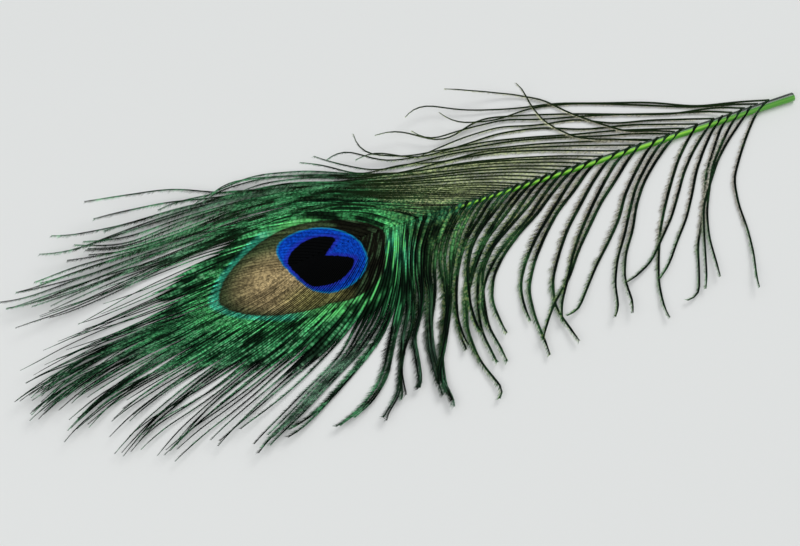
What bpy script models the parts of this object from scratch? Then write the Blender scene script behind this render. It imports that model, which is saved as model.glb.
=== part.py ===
"""A peacock tail feather, cut off below its eye and lying face up.

Lengths below are in millimetres and headings in degrees, and the finished mesh is in metres.
The feather is drawn from its cut butt: x runs along the shaft towards the tip, the near vane
hangs to +y and the far vane to -y, and z = 0 is the surface that it lies on. The finished
feather is then moved so that the origin lies on that surface, under the middle of its eye.

It grew as one piece: a tapering shaft, a smooth crowned blade where the barbs round the eye lie
close together, and tapering locks of barbs that leave the shaft and the rim of the blade.
"""

import math
import random
from collections import namedtuple

import bmesh
import bpy
from mathutils import Matrix, Vector

MM = 0.001
NEAR = 1
FAR = -1

# Shaft
SHAFT_LENGTH = 150.0
SHAFT_BUTT_RADIUS = 1.25
SHAFT_TIP_RADIUS = 0.45
SHAFT_FLAT_DEPTH = 0.2
SHAFT_BEND = 2.4
SHAFT_POINTS = 12
SHAFT_RESOLUTION = 3

# Blade of the eye
EYE_CENTRE = (147.0, 2.0)
BLADE_HALF_LENGTH = 36.0
BLADE_HALF_WIDTH = 19.0
BLADE_CROWN = 2.4
BLADE_TAPER = 0.18
BLADE_SEGMENTS = 28
BLADE_RINGS = 12

# Locks of barbs
FIRST_ROOT = 7.0
LAST_STEM_ROOT = 118.0
FIRST_EYE_ROOT = 119.5
LAST_EYE_ROOT = 160.0
EYE_LOCKS = {NEAR: 15, FAR: 12}
EYE_CROWDING = 1.25
RAGGED_SEED = 11
RAGGED_LENGTH = 0.05
RAGGED_HEADING = 8.0
LOOSE_WIDTH = 2.0
CLOSE_WIDTH = 4.6
LOCK_THICKNESS_SHARE = 0.26
LOCK_ROOT_SHARE = 0.55
LOCK_TIP_SHARE = 0.28
LOCK_FULL_FROM = 0.3
LOCK_TAPER_FROM = 0.55
LOCK_STATIONS = 9
LOCK_OVERLAP = 6.0
LOCK_REST_HEIGHT = 0.34
LAYER_STEP = 0.17
LAYERS = 3
SAG_SHARE = 0.3
LIFT_FROM = 0.62
PATH_STEPS = 60

FLOOR_CUT_SIZE = (300.0, 160.0, 20.0)
FLOOR_CUT_MIDDLE = (110.0, 5.0, -10.0)
MERGE_DISTANCE = 0.01

# How the barbs run: each row gives the root's distance from the butt, the barb's length, how high
# its tip lifts, and its headings away from the shaft at even steps from the root to the tip.
Flow = namedtuple("Flow", "root length lift headings")

NEAR_FLOW = (
    Flow(7, 63, 2.0, (20, 44, 48, 51, 72, 81, 74, 67, 75)),
    Flow(12.5, 62, 1.4, (33, 35, 40, 49, 50, 64, 66, 65, 58)),
    Flow(18.5, 63, 1.2, (28, 49, 49, 60, 58, 54, 66, 65, 3)),
    Flow(24, 60, 1.6, (32, 38, 45, 52, 51, 42, 41, 24, 14)),
    Flow(29, 63, 1.4, (34, 43, 50, 52, 55, 61, 63, 72, 89)),
    Flow(34, 62, 1.8, (24, 35, 40, 50, 58, 50, 62, 82, 63)),
    Flow(41, 63, 2.0, (28, 41, 44, 54, 45, 42, 46, 47, 6)),
    Flow(46, 68, 2.2, (28, 39, 37, 44, 44, 50, 39, 51, 58)),
    Flow(52.5, 65, 1.4, (19, 37, 42, 42, 50, 54, 71, 97, 97)),
    Flow(57.5, 67, 1.2, (20, 37, 33, 43, 48, 57, 79, 87, 82)),
    Flow(64.5, 60, 1.2, (21, 32, 36, 29, 35, 44, 63, 86, 95)),
    Flow(71, 65, 1.2, (22, 36, 31, 31, 48, 71, 76, 94, 87)),
    Flow(77, 73, 1.4, (23, 35, 34, 49, 55, 68, 86, 103, 110)),
    Flow(82.5, 49, 1.0, (24, 34, 34, 41, 57, 70, 72, 80, 100)),
    Flow(88, 50, 1.2, (27, 41, 39, 51, 59, 66, 71, 83, 98)),
    Flow(92.5, 58, 1.4, (28, 44, 53, 60, 68, 64, 61, 58, 79)),
    Flow(97, 58, 1.4, (36, 45, 59, 74, 71, 60, 63, 70, 85)),
    Flow(103, 60, 1.4, (44, 51, 63, 76, 64, 72, 81, 94, 92)),
    Flow(108, 53, 1.6, (51, 54, 69, 75, 65, 53, 80, 75, 40)),
    Flow(110.5, 56, 1.6, (53, 60, 70, 73, 66, 51, 63, 81, 76)),
    Flow(112.5, 62, 1.8, (58, 64, 73, 67, 56, 67, 64, 39, 75)),
    Flow(114.5, 66, 1.8, (62, 67, 67, 59, 59, 58, 38, 23, 18)),
    Flow(116.5, 80, 2.0, (68, 67, 59, 49, 36, 31, 24, 8, 41)),
    Flow(118, 87, 2.2, (68, 64, 54, 39, 28, 27, 19, 30, 46)),
    Flow(120, 84, 2.4, (66, 58, 46, 36, 28, 26, 25, 30, 36)),
    Flow(123, 88, 1.8, (62, 48, 34, 27, 21, 24, 26, 32, 38)),
    Flow(128, 90, 1.6, (56, 40, 24, 20, 15, 20, 24, 33, 42)),
    Flow(136, 86, 2.2, (40, 27, 14, 13, 12, 17, 22, 33, 44)),
    Flow(145, 80, 2.6, (26, 17, 8, 8, 9, 14, 20, 32, 44)),
    Flow(163, 64, 3.0, (3, 2, 0, 4, 8, 14, 20, 28, 35)),
)

FAR_FLOW = (
    Flow(7, 103, 4.5, (25, 13, 28, 20, 21, 10, 15, 27, -36)),
    Flow(10.5, 90, 3.5, (28, 16, 24, 24, 22, 15, -2, 15, 61)),
    Flow(14.5, 105, 4.5, (31, 10, 21, 22, 19, 15, -21, 35, -7)),
    Flow(18.5, 90, 3.0, (32, 17, 20, 19, 16, 18, -4, -8, 57)),
    Flow(24, 85, 3.0, (27, 20, 14, 30, 10, 19, 0, -8, -12)),
    Flow(29, 96, 3.5, (28, 20, 13, 25, 13, 1, 1, 27, -19)),
    Flow(33, 94, 4.5, (26, 19, 14, 17, 14, 7, 4, 20, 97)),
    Flow(38, 95, 4.0, (30, 16, 19, 16, 10, 9, 8, 36, -28)),
    Flow(43, 93, 3.5, (28, 17, 18, 14, 14, 4, 5, 30, 38)),
    Flow(48, 92, 3.5, (27, 20, 18, 16, 3, 18, 2, 35, 20)),
    Flow(53, 103, 3.0, (26, 22, 18, 10, 4, 14, 23, 11, -8)),
    Flow(58, 115, 4.0, (28, 18, 15, 8, 18, 26, 13, -10, -29)),
    Flow(64, 101, 3.5, (29, 20, 16, 13, 14, 21, 18, 8, -29)),
    Flow(70, 128, 8.0, (27, 18, 12, 17, 21, 7, 23, 2, -2)),
    Flow(76, 125, 4.5, (27, 17, 15, 21, 21, 3, -2, -3, -16)),
    Flow(82, 130, 4.5, (27, 16, 20, 23, 8, 4, -2, -5, 14)),
    Flow(88, 125, 4.5, (26, 17, 23, 20, 6, -2, -12, 14, 21)),
    Flow(93, 118, 4.0, (24, 18, 26, 18, 6, -6, -5, 8, 28)),
    Flow(98, 128, 4.5, (21, 23, 26, 8, -5, -3, -1, -12, 12)),
    Flow(102, 124, 3.5, (22, 27, 20, 3, -3, -2, -6, -9, 7)),
    Flow(106, 120, 3.5, (27, 29, 13, 2, -4, -5, -9, -4, 14)),
    Flow(110, 120, 3.0, (37, 24, 7, 0, -5, -4, -9, -12, -1)),
    Flow(114, 116, 3.0, (48, 20, 4, -2, -6, -13, -10, -1, -19)),
    Flow(120, 106, 3.0, (44, 29, 14, 6, -2, -4, -5, -4, -2)),
    Flow(135, 90, 2.0, (30, 16, 2, -3, -8, -8, -8, -10, -12)),
    Flow(150, 75, 3.4, (14, 6, -3, -5, -7, -8, -9, -14, -18)),
    Flow(163, 62, 2.6, (0, -1, -2, -4, -7, -12, -18, -25, -32)),
)

FLOWS = {NEAR: NEAR_FLOW, FAR: FAR_FLOW}


def clear_scene():
    for item in list(bpy.data.objects):
        bpy.data.objects.remove(item, do_unlink=True)


def make_collection(name):
    collection = bpy.data.collections.new(name)
    bpy.context.scene.collection.children.link(collection)
    return collection


def make_material(name, colour, roughness):
    material = bpy.data.materials.new(name)
    material.use_nodes = True
    shader = material.node_tree.nodes["Principled BSDF"]
    shader.inputs["Base Color"].default_value = (*colour, 1.0)
    shader.inputs["Roughness"].default_value = roughness
    shader.inputs["Metallic"].default_value = 0.0
    return material


def add_mesh_object(name, mesh, collection):
    item = bpy.data.objects.new(name, mesh)
    collection.objects.link(item)
    return item


def mark_as_guide(item):
    item.hide_render = True
    item.display_type = "WIRE"


def blend(low, high, share):
    return low + (high - low) * share


def shaft_radius(x):
    return blend(SHAFT_BUTT_RADIUS, SHAFT_TIP_RADIUS, min(x / SHAFT_LENGTH, 1.0))


def shaft_centre_height(x):
    return shaft_radius(x) - SHAFT_FLAT_DEPTH


def shaft_sideways(x):
    """The shaft is straight up to the eye and bends a little towards the near side inside it."""
    eye_base = EYE_CENTRE[0] - BLADE_HALF_LENGTH
    return SHAFT_BEND * max(0.0, (x - eye_base) / BLADE_HALF_LENGTH) ** 2


def flow_at(side, root):
    """The barb row at any root, blended between the measured rows."""
    rows = FLOWS[side]
    for low, high in zip(rows, rows[1:]):
        if root <= high.root:
            break
    share = (root - low.root) / (high.root - low.root)
    return Flow(
        root,
        blend(low.length, high.length, share),
        blend(low.lift, high.lift, share),
        tuple(blend(a, b, share) for a, b in zip(low.headings, high.headings)),
    )


def make_ragged(flow, dice):
    """A barb a little longer or shorter than its neighbours, with a tip of its own."""
    length = flow.length * (1.0 + dice.uniform(-RAGGED_LENGTH, RAGGED_LENGTH))
    at_tip = flow.headings[-1] + dice.uniform(-RAGGED_HEADING, RAGGED_HEADING)
    return flow._replace(length=length, headings=(*flow.headings[:-1], at_tip))


def heading_at(flow, share):
    """The heading at a share of the barb's length, eased between its stations."""
    place = share * (len(flow.headings) - 1)
    index = min(int(place), len(flow.headings) - 2)
    ease = 0.5 - 0.5 * math.cos(math.pi * (place - index))
    return math.radians(blend(flow.headings[index], flow.headings[index + 1], ease))


def barb_height(flow, share, layer):
    """High where it leaves the shaft, low along its middle, lifting again at the tip."""
    rest = LOCK_REST_HEIGHT + LAYER_STEP * layer
    crest = 2.0 * shaft_radius(flow.root) - SHAFT_FLAT_DEPTH
    drop = max(0.0, 1.0 - share / SAG_SHARE) ** 2
    rise = max(0.0, (share - LIFT_FROM) / (1.0 - LIFT_FROM)) ** 2
    return rest + max(crest - rest, 0.0) * drop + flow.lift * rise


def barb_path(side, flow, layer):
    """Points along one barb as (share of its length, place)."""
    x, y = flow.root, shaft_sideways(flow.root)
    step = flow.length / PATH_STEPS
    path = []
    for index in range(PATH_STEPS + 1):
        share = index / PATH_STEPS
        path.append((share, Vector((x, y, barb_height(flow, share, layer)))))
        heading = heading_at(flow, share)
        x += step * math.cos(heading)
        y += step * math.sin(heading) * side
    return path


def blade_radius_share(place):
    """0 at the middle of the blade and 1 at its rim."""
    along = (place.x - EYE_CENTRE[0]) / BLADE_HALF_LENGTH
    across = (place.y - EYE_CENTRE[1]) / BLADE_HALF_WIDTH
    return math.hypot(along, across)


def free_stretch(path, length):
    """The path without its start where that lies inside the blade, but for an overlap."""
    first_free = 0
    while blade_radius_share(path[first_free][1]) < 1.0:
        first_free += 1
    overlap_steps = round(LOCK_OVERLAP / length * PATH_STEPS)
    return path[max(first_free - overlap_steps, 0):]


def sample(path, count):
    picks = (round(index * (len(path) - 1) / (count - 1)) for index in range(count))
    return [path[pick] for pick in picks]


def lock_swell(share):
    """Width along a lock: slim at the root, full by a third and tapering to the tip."""
    root_part = blend(LOCK_ROOT_SHARE, 1.0, min(share / LOCK_FULL_FROM, 1.0))
    taper = max(0.0, (share - LOCK_TAPER_FROM) / (1.0 - LOCK_TAPER_FROM))
    return min(root_part, blend(1.0, LOCK_TIP_SHARE, taper))


def stem_flows(side):
    """One lock for each measured barb below the eye."""
    return [flow for flow in FLOWS[side] if flow.root <= LAST_STEM_ROOT]


def eye_flows(side, dice):
    """Ragged locks between the measured barbs round the eye."""
    for index in range(EYE_LOCKS[side]):
        share = index / (EYE_LOCKS[side] - 1)
        root = blend(FIRST_EYE_ROOT, LAST_EYE_ROOT, share ** EYE_CROWDING)
        yield make_ragged(flow_at(side, root), dice)


def lock_width(root):
    share = (root - FIRST_ROOT) / (LAST_STEM_ROOT - FIRST_ROOT)
    return blend(LOOSE_WIDTH, CLOSE_WIDTH, min(share, 1.0) ** 2)


def make_section(collection):
    """The cross-section of a lock of unit width: flat, with a low ridge above and below."""
    outline = bpy.data.curves.new("lock_section", "CURVE")
    outline.dimensions = "2D"
    spline = outline.splines.new("POLY")
    ridge = LOCK_THICKNESS_SHARE / 2.0
    corners = ((-0.5, 0.0), (0.0, -ridge), (0.5, 0.0), (0.0, ridge))
    spline.points.add(len(corners) - 1)
    for point, (across, up) in zip(spline.points, corners):
        point.co = (across * MM, up * MM, 0.0, 1.0)
    spline.use_cyclic_u = True
    section = add_mesh_object("lock_section", outline, collection)
    mark_as_guide(section)
    return section


def add_spline(curve, places, widths):
    spline = curve.splines.new("POLY")
    spline.points.add(len(places) - 1)
    for point, place, width in zip(spline.points, places, widths):
        point.co = (*(place * MM), 1.0)
        point.radius = width


def curve_to_solid(curve, name, collection):
    """Turn a capped curve into a closed mesh object and remove the curve."""
    source = add_mesh_object(name + "_curve", curve, collection)
    evaluated = source.evaluated_get(bpy.context.evaluated_depsgraph_get())
    mesh = bpy.data.meshes.new_from_object(evaluated)
    bpy.data.objects.remove(source, do_unlink=True)
    cage = bmesh.new()
    cage.from_mesh(mesh)
    bmesh.ops.remove_doubles(cage, verts=cage.verts, dist=MERGE_DISTANCE * MM)
    bmesh.ops.recalc_face_normals(cage, faces=cage.faces)
    cage.to_mesh(mesh)
    cage.free()
    return add_mesh_object(name, mesh, collection)


def make_lock(name, side, flow, layer, section, collection):
    path = sample(free_stretch(barb_path(side, flow, layer), flow.length), LOCK_STATIONS)
    first, last = path[0][0], path[-1][0]
    width = lock_width(flow.root)
    widths = [width * lock_swell((share - first) / (last - first)) for share, _ in path]
    curve = bpy.data.curves.new(name, "CURVE")
    curve.dimensions = "3D"
    curve.twist_mode = "Z_UP"
    curve.bevel_mode = "OBJECT"
    curve.bevel_object = section
    curve.use_fill_caps = True
    add_spline(curve, [place for _, place in path], widths)
    return curve_to_solid(curve, name, collection)


def make_shaft(collection):
    curve = bpy.data.curves.new("shaft", "CURVE")
    curve.dimensions = "3D"
    curve.bevel_depth = MM
    curve.bevel_resolution = SHAFT_RESOLUTION
    curve.use_fill_caps = True
    distances = [SHAFT_LENGTH * index / (SHAFT_POINTS - 1) for index in range(SHAFT_POINTS)]
    places = [Vector((x, shaft_sideways(x), shaft_centre_height(x))) for x in distances]
    add_spline(curve, places, [shaft_radius(x) for x in distances])
    return curve_to_solid(curve, "shaft", collection)


def make_blade(name, collection):
    """A flat dome of egg outline, wider towards the butt."""
    cage = bmesh.new()
    bmesh.ops.create_uvsphere(
        cage, u_segments=BLADE_SEGMENTS, v_segments=BLADE_RINGS, radius=1.0
    )
    for vertex in cage.verts:
        narrowing = 1.0 - BLADE_TAPER * vertex.co.x
        vertex.co.x *= BLADE_HALF_LENGTH
        vertex.co.y *= BLADE_HALF_WIDTH * narrowing
        vertex.co.z *= BLADE_CROWN
        vertex.co += Vector((*EYE_CENTRE, 0.0))
        vertex.co *= MM
    mesh = bpy.data.meshes.new(name)
    cage.to_mesh(mesh)
    cage.free()
    return add_mesh_object(name, mesh, collection)


def make_floor_cutter(collection):
    """A block that trims everything below the resting plane, leaving flats to lie on."""
    cage = bmesh.new()
    bmesh.ops.create_cube(cage, size=1.0)
    bmesh.ops.scale(cage, vec=Vector(FLOOR_CUT_SIZE) * MM, verts=cage.verts)
    bmesh.ops.translate(cage, vec=Vector(FLOOR_CUT_MIDDLE) * MM, verts=cage.verts)
    mesh = bpy.data.meshes.new("floor_cutter")
    cage.to_mesh(mesh)
    cage.free()
    cutter = add_mesh_object("floor_cutter", mesh, collection)
    mark_as_guide(cutter)
    return cutter


def add_boolean(item, name, operation):
    modifier = item.modifiers.new(name, "BOOLEAN")
    modifier.operation = operation
    modifier.solver = "EXACT"
    return modifier


def build_locks(section, collection):
    dice = random.Random(RAGGED_SEED)
    for side, side_name in ((NEAR, "near"), (FAR, "far")):
        for index, flow in enumerate([*stem_flows(side), *eye_flows(side, dice)]):
            name = f"{side_name}_lock_{index + 1:02d}"
            lock = make_lock(name, side, flow, index % LAYERS, section, collection)
            mark_as_guide(lock)


def build_feather():
    feather_collection = make_collection("peacock_feather")
    grown_collection = make_collection("grown_parts")
    cutter_collection = make_collection("cutters")

    section = make_section(cutter_collection)
    build_locks(section, grown_collection)
    mark_as_guide(make_shaft(grown_collection))

    feather = make_blade("feather", feather_collection)
    join = add_boolean(feather, "join_grown_parts", "UNION")
    join.operand_type = "COLLECTION"
    join.collection = grown_collection
    trim = add_boolean(feather, "trim_to_floor", "DIFFERENCE")
    trim.object = make_floor_cutter(cutter_collection)

    feather.data.shade_smooth()
    feather.data.materials.append(make_material("feather", (0.03, 0.16, 0.06), 0.5))

    shift = Vector((EYE_CENTRE[0], EYE_CENTRE[1], 0.0)) * -MM
    for item in list(grown_collection.objects) + list(cutter_collection.objects) + [feather]:
        item.matrix_world = Matrix.Translation(shift)


clear_scene()
build_feather()
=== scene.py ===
"""The finished look of a peacock's tail feather that lies face up on a pale floor.

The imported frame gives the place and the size. Everything that grows on the feather is built here
again at the same places: the glossy shaft, and each barb with its barbules, as plain meshes.

Lengths are millimetres along and across the shaft ("stem millimetres"): x runs from the cut butt
to the tip, the near vane hangs to +y, the far vane to -y, and z = 0 is the floor. FeatherShape
turns them into metres in the frame.
"""

import logging
import math
import random
from dataclasses import dataclass, field, replace
from enum import Enum
from functools import reduce

import bmesh
import bpy
import numpy as np
from bpy.types import ID, Material, Mesh, Node, NodeTree, Object
from bpy.types import NodeSocket as Socket
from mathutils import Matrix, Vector

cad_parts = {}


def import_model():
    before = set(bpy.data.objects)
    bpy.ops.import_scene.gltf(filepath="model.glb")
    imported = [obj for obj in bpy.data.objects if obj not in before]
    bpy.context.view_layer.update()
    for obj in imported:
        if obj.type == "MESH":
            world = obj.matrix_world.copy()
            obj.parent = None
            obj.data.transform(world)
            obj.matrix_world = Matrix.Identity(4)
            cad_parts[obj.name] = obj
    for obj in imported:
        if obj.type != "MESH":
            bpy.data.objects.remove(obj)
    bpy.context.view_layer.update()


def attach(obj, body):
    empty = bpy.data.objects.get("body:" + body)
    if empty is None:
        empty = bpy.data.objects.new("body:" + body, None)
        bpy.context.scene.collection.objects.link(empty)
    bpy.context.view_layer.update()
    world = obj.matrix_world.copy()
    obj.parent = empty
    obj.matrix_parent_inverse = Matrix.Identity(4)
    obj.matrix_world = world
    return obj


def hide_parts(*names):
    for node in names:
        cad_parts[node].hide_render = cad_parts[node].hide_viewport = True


LOG = logging.getLogger("feather")

MM = 0.001
NODE = "feather"
BODY = "root"
BAKE_MAP = "OFBake"

Pair = tuple[float, float]
Point = tuple[float, float, float]
Path = list[Pair]
Table = tuple[Pair, ...]


def srgb(code: str) -> tuple[float, float, float, float]:
    """Turn a colour written as #rrggbb into linear red, green, blue and alpha.

    Args:
        code: The colour as it looks on a screen.

    Returns:
        The linear colour that a shader takes.
    """
    parts = [int(code[place : place + 2], 16) / 255.0 for place in (1, 3, 5)]
    linear = [p / 12.92 if p <= 0.04045 else ((p + 0.055) / 1.055) ** 2.4 for p in parts]
    return (linear[0], linear[1], linear[2], 1.0)


def blend(low: float, high: float, share: float) -> float:
    """Return the value a share of the way from low to high."""
    return low + (high - low) * share


def smooth(value: float, low: float, high: float) -> float:
    """Ease a value from 0 at low to 1 at high; low may be the larger one.

    Args:
        value: The value to ease.
        low: Where the result is 0.
        high: Where the result is 1.

    Returns:
        A number from 0 to 1.
    """
    share = min(max((value - low) / (high - low), 0.0), 1.0)
    return share * share * (3.0 - 2.0 * share)


def read_table(table: Table, value: float) -> float:
    """Read a value between the rows of a small table.

    Args:
        table: Rows of a place and the value there, in rising order of place.
        value: The place to read at.

    Returns:
        The value there, on the straight line between its two rows.
    """
    places, values = zip(*table)
    return float(np.interp(value, places, values))


# ---------------- The feather's shape ----------------


class Side(Enum):
    """The two vanes. The value is the sign of y on that side of the shaft."""

    NEAR = 1
    FAR = -1


@dataclass(frozen=True)
class Flow:
    """How the barb that grows at one place runs.

    Attributes:
        root: Distance of its root from the butt.
        length: Length of the barb.
        lift: How high its tip rises from the floor.
        headings: Headings away from the shaft in degrees, at even steps from the root to the tip.
    """

    root: float
    length: float
    lift: float
    headings: tuple[float, ...]

    def toward(self, other: "Flow", share: float) -> "Flow":
        """Return the flow a share of the way to another one."""
        headings = tuple(blend(*pair, share) for pair in zip(self.headings, other.headings))
        sizes = ((self.root, other.root), (self.length, other.length), (self.lift, other.lift))
        return Flow(*(blend(*pair, share) for pair in sizes), headings)

    def heading(self, share: float) -> float:
        """Return the heading in degrees at a share of the length, eased between stations."""
        place = share * (len(self.headings) - 1)
        index = min(int(place), len(self.headings) - 2)
        ease = 0.5 - 0.5 * math.cos(math.pi * (place - index))
        return blend(self.headings[index], self.headings[index + 1], ease)


NEAR_FLOW = (
    Flow(7, 63, 2.0, (20, 44, 48, 51, 72, 81, 74, 67, 75)),
    Flow(12.5, 62, 1.4, (33, 35, 40, 49, 50, 64, 66, 65, 58)),
    Flow(18.5, 63, 1.2, (28, 49, 49, 60, 58, 54, 66, 65, 3)),
    Flow(24, 60, 1.6, (32, 38, 45, 52, 51, 42, 41, 24, 14)),
    Flow(29, 63, 1.4, (34, 43, 50, 52, 55, 61, 63, 72, 89)),
    Flow(34, 62, 1.8, (24, 35, 40, 50, 58, 50, 62, 82, 63)),
    Flow(41, 63, 2.0, (28, 41, 44, 54, 45, 42, 46, 47, 6)),
    Flow(46, 68, 2.2, (28, 39, 37, 44, 44, 50, 39, 51, 58)),
    Flow(52.5, 65, 1.4, (19, 37, 42, 42, 50, 54, 71, 97, 97)),
    Flow(57.5, 67, 1.2, (20, 37, 33, 43, 48, 57, 79, 87, 82)),
    Flow(64.5, 60, 1.2, (21, 32, 36, 29, 35, 44, 63, 86, 95)),
    Flow(71, 65, 1.2, (22, 36, 31, 31, 48, 71, 76, 94, 87)),
    Flow(77, 73, 1.4, (23, 35, 34, 49, 55, 68, 86, 103, 110)),
    Flow(82.5, 49, 1.0, (24, 34, 34, 41, 57, 70, 72, 80, 100)),
    Flow(88, 50, 1.2, (27, 41, 39, 51, 59, 66, 71, 83, 98)),
    Flow(92.5, 58, 1.4, (28, 44, 53, 60, 68, 64, 61, 58, 79)),
    Flow(97, 58, 1.4, (36, 45, 59, 74, 71, 60, 63, 70, 85)),
    Flow(103, 60, 1.4, (44, 51, 63, 76, 64, 72, 81, 94, 92)),
    Flow(108, 53, 1.6, (51, 54, 69, 75, 65, 53, 80, 75, 40)),
    Flow(110.5, 56, 1.6, (53, 60, 70, 73, 66, 51, 63, 81, 76)),
    Flow(112.5, 62, 1.8, (58, 64, 73, 67, 56, 67, 64, 39, 75)),
    Flow(114.5, 66, 1.8, (62, 67, 67, 59, 59, 58, 38, 23, 18)),
    Flow(116.5, 80, 2.0, (68, 67, 59, 49, 36, 31, 24, 8, 41)),
    Flow(118, 87, 2.2, (68, 64, 54, 39, 28, 27, 19, 30, 46)),
    Flow(120, 84, 2.4, (66, 58, 46, 36, 28, 26, 25, 30, 36)),
    Flow(123, 88, 1.8, (62, 48, 34, 27, 21, 24, 26, 32, 38)),
    Flow(128, 90, 1.6, (56, 40, 24, 20, 15, 20, 24, 33, 42)),
    Flow(136, 86, 2.2, (40, 27, 14, 13, 12, 17, 22, 33, 44)),
    Flow(145, 80, 2.6, (26, 17, 8, 8, 9, 14, 20, 32, 44)),
    Flow(163, 64, 3.0, (3, 2, 0, 4, 8, 14, 20, 28, 35)),
)

FAR_FLOW = (
    Flow(7, 103, 4.5, (25, 13, 28, 20, 21, 10, 15, 27, -36)),
    Flow(10.5, 90, 3.5, (28, 16, 24, 24, 22, 15, -2, 15, 61)),
    Flow(14.5, 105, 4.5, (31, 10, 21, 22, 19, 15, -21, 35, -7)),
    Flow(18.5, 90, 3.0, (32, 17, 20, 19, 16, 18, -4, -8, 57)),
    Flow(24, 85, 3.0, (27, 20, 14, 30, 10, 19, 0, -8, -12)),
    Flow(29, 96, 3.5, (28, 20, 13, 25, 13, 1, 1, 27, -19)),
    Flow(33, 94, 4.5, (26, 19, 14, 17, 14, 7, 4, 20, 97)),
    Flow(38, 95, 4.0, (30, 16, 19, 16, 10, 9, 8, 36, -28)),
    Flow(43, 93, 3.5, (28, 17, 18, 14, 14, 4, 5, 30, 38)),
    Flow(48, 92, 3.5, (27, 20, 18, 16, 3, 18, 2, 35, 20)),
    Flow(53, 103, 3.0, (26, 22, 18, 10, 4, 14, 23, 11, -8)),
    Flow(58, 115, 4.0, (28, 18, 15, 8, 18, 26, 13, -10, -29)),
    Flow(64, 101, 3.5, (29, 20, 16, 13, 14, 21, 18, 8, -29)),
    Flow(70, 128, 8.0, (27, 18, 12, 17, 21, 7, 23, 2, -2)),
    Flow(76, 125, 4.5, (27, 17, 15, 21, 21, 3, -2, -3, -16)),
    Flow(82, 130, 4.5, (27, 16, 20, 23, 8, 4, -2, -5, 14)),
    Flow(88, 125, 4.5, (26, 17, 23, 20, 6, -2, -12, 14, 21)),
    Flow(93, 118, 4.0, (24, 18, 26, 18, 6, -6, -5, 8, 28)),
    Flow(98, 128, 4.5, (21, 23, 26, 8, -5, -3, -1, -12, 12)),
    Flow(102, 124, 3.5, (22, 27, 20, 3, -3, -2, -6, -9, 7)),
    Flow(106, 120, 3.5, (27, 29, 13, 2, -4, -5, -9, -4, 14)),
    Flow(110, 120, 3.0, (37, 24, 7, 0, -5, -4, -9, -12, -1)),
    Flow(114, 116, 3.0, (48, 20, 4, -2, -6, -13, -10, -1, -19)),
    Flow(120, 106, 3.0, (44, 29, 14, 6, -2, -4, -5, -4, -2)),
    Flow(135, 90, 2.0, (30, 16, 2, -3, -8, -8, -8, -10, -12)),
    Flow(150, 75, 3.4, (14, 6, -3, -5, -7, -8, -9, -14, -18)),
    Flow(163, 62, 2.6, (0, -1, -2, -4, -7, -12, -18, -25, -32)),
)

STRAY_FLOW = (
    Flow(36, 66, 8.0, (31, 20, 42, 45, 54, 32, 18, 8, -3)),
    Flow(44, 42, 4.5, (29, 27, 21, 27, 49, 57, 73, 82, 50)),
)

FLOWS = {Side.NEAR: NEAR_FLOW, Side.FAR: FAR_FLOW}


@dataclass(frozen=True)
class FeatherShape:
    """The rules that every part of the feather follows, in stem millimetres."""

    eye_x: float = 147.0
    eye_y: float = 2.0
    shaft_length: float = 150.0
    butt_radius: float = 1.25
    tip_radius: float = 0.45
    flat_depth: float = 0.2
    shaft_bend: float = 2.4
    bend_from: float = 111.0
    bend_run: float = 36.0
    web_middle: Pair = (147.0, 6.5)
    web_half_length: float = 33.0
    web_half_width: float = 20.5
    web_turn: float = 7.0
    web_edge: Pair = (1.24, 0.84)
    far_web_edge: Pair = (1.14, 0.95)
    crown: float = 1.75
    web_rest: float = 0.5

    def to_frame(self, x: float, y: float, z: float) -> Point:
        """Turn stem millimetres into metres in the frame."""
        return ((x - self.eye_x) * MM, (y - self.eye_y) * MM, z * MM)

    def shaft_radius(self, x: float) -> float:
        """Return the shaft's radius at a distance from the butt."""
        return blend(self.butt_radius, self.tip_radius, min(x / self.shaft_length, 1.0))

    def shaft_centre_height(self, x: float) -> float:
        """Return the height of the shaft's middle; its underside is worn a little flat."""
        return self.shaft_radius(x) - self.flat_depth

    def shaft_sideways(self, x: float) -> float:
        """Return how far the shaft has bent towards the near side, inside the eye."""
        return self.shaft_bend * max(0.0, (x - self.bend_from) / self.bend_run) ** 2

    def shaft_surface(self, x: float, y: float) -> float:
        """Return the height of the shaft's skin over a point, or 0 beside it.

        Args:
            x: Distance from the butt.
            y: Distance across.

        Returns:
            The height of the top of the shaft there.
        """
        radius = self.shaft_radius(x)
        off = y - self.shaft_sideways(x)
        if abs(off) >= radius or not 0.0 <= x <= self.shaft_length:
            return 0.0
        return self.shaft_centre_height(x) + math.sqrt(radius * radius - off * off)

    def flow_at(self, side: Side, root: float) -> Flow:
        """Return how the barb at any root runs, blended between the measured ones."""
        rows = FLOWS[side]
        low, high = rows[0], rows[1]
        for low, high in zip(rows, rows[1:]):
            if root <= high.root:
                break
        return low.toward(high, (root - low.root) / (high.root - low.root))

    def web_radius(self, x: float, y: float) -> float:
        """Return 0 in the middle of the closed vane round the eye and 1 on its outline."""
        turn = math.radians(self.web_turn)
        off_x, off_y = x - self.web_middle[0], y - self.web_middle[1]
        along = off_x * math.cos(turn) + off_y * math.sin(turn)
        across = off_y * math.cos(turn) - off_x * math.sin(turn)
        return math.hypot(along / self.web_half_length, across / self.web_half_width)

    def closed(self, x: float, y: float, shift: float) -> float:
        """Return 1 where the vane is closed and 0 where its barbs run apart.

        Args:
            x: Distance from the butt.
            y: Distance across.
            shift: How much earlier than its neighbours a barb comes loose.

        Returns:
            A share from 0 to 1.
        """
        edge = self.web_edge if y > 0.0 else self.far_web_edge
        return smooth(self.web_radius(x, y) + shift, *edge)

    def web_height(self, radius: float) -> float:
        """Return the height of the crowned vane at a share of the way to its outline."""
        return self.web_rest + self.crown * max(0.0, 1.0 - radius * radius) ** 0.75


# ---------------- Barbs ----------------


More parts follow.
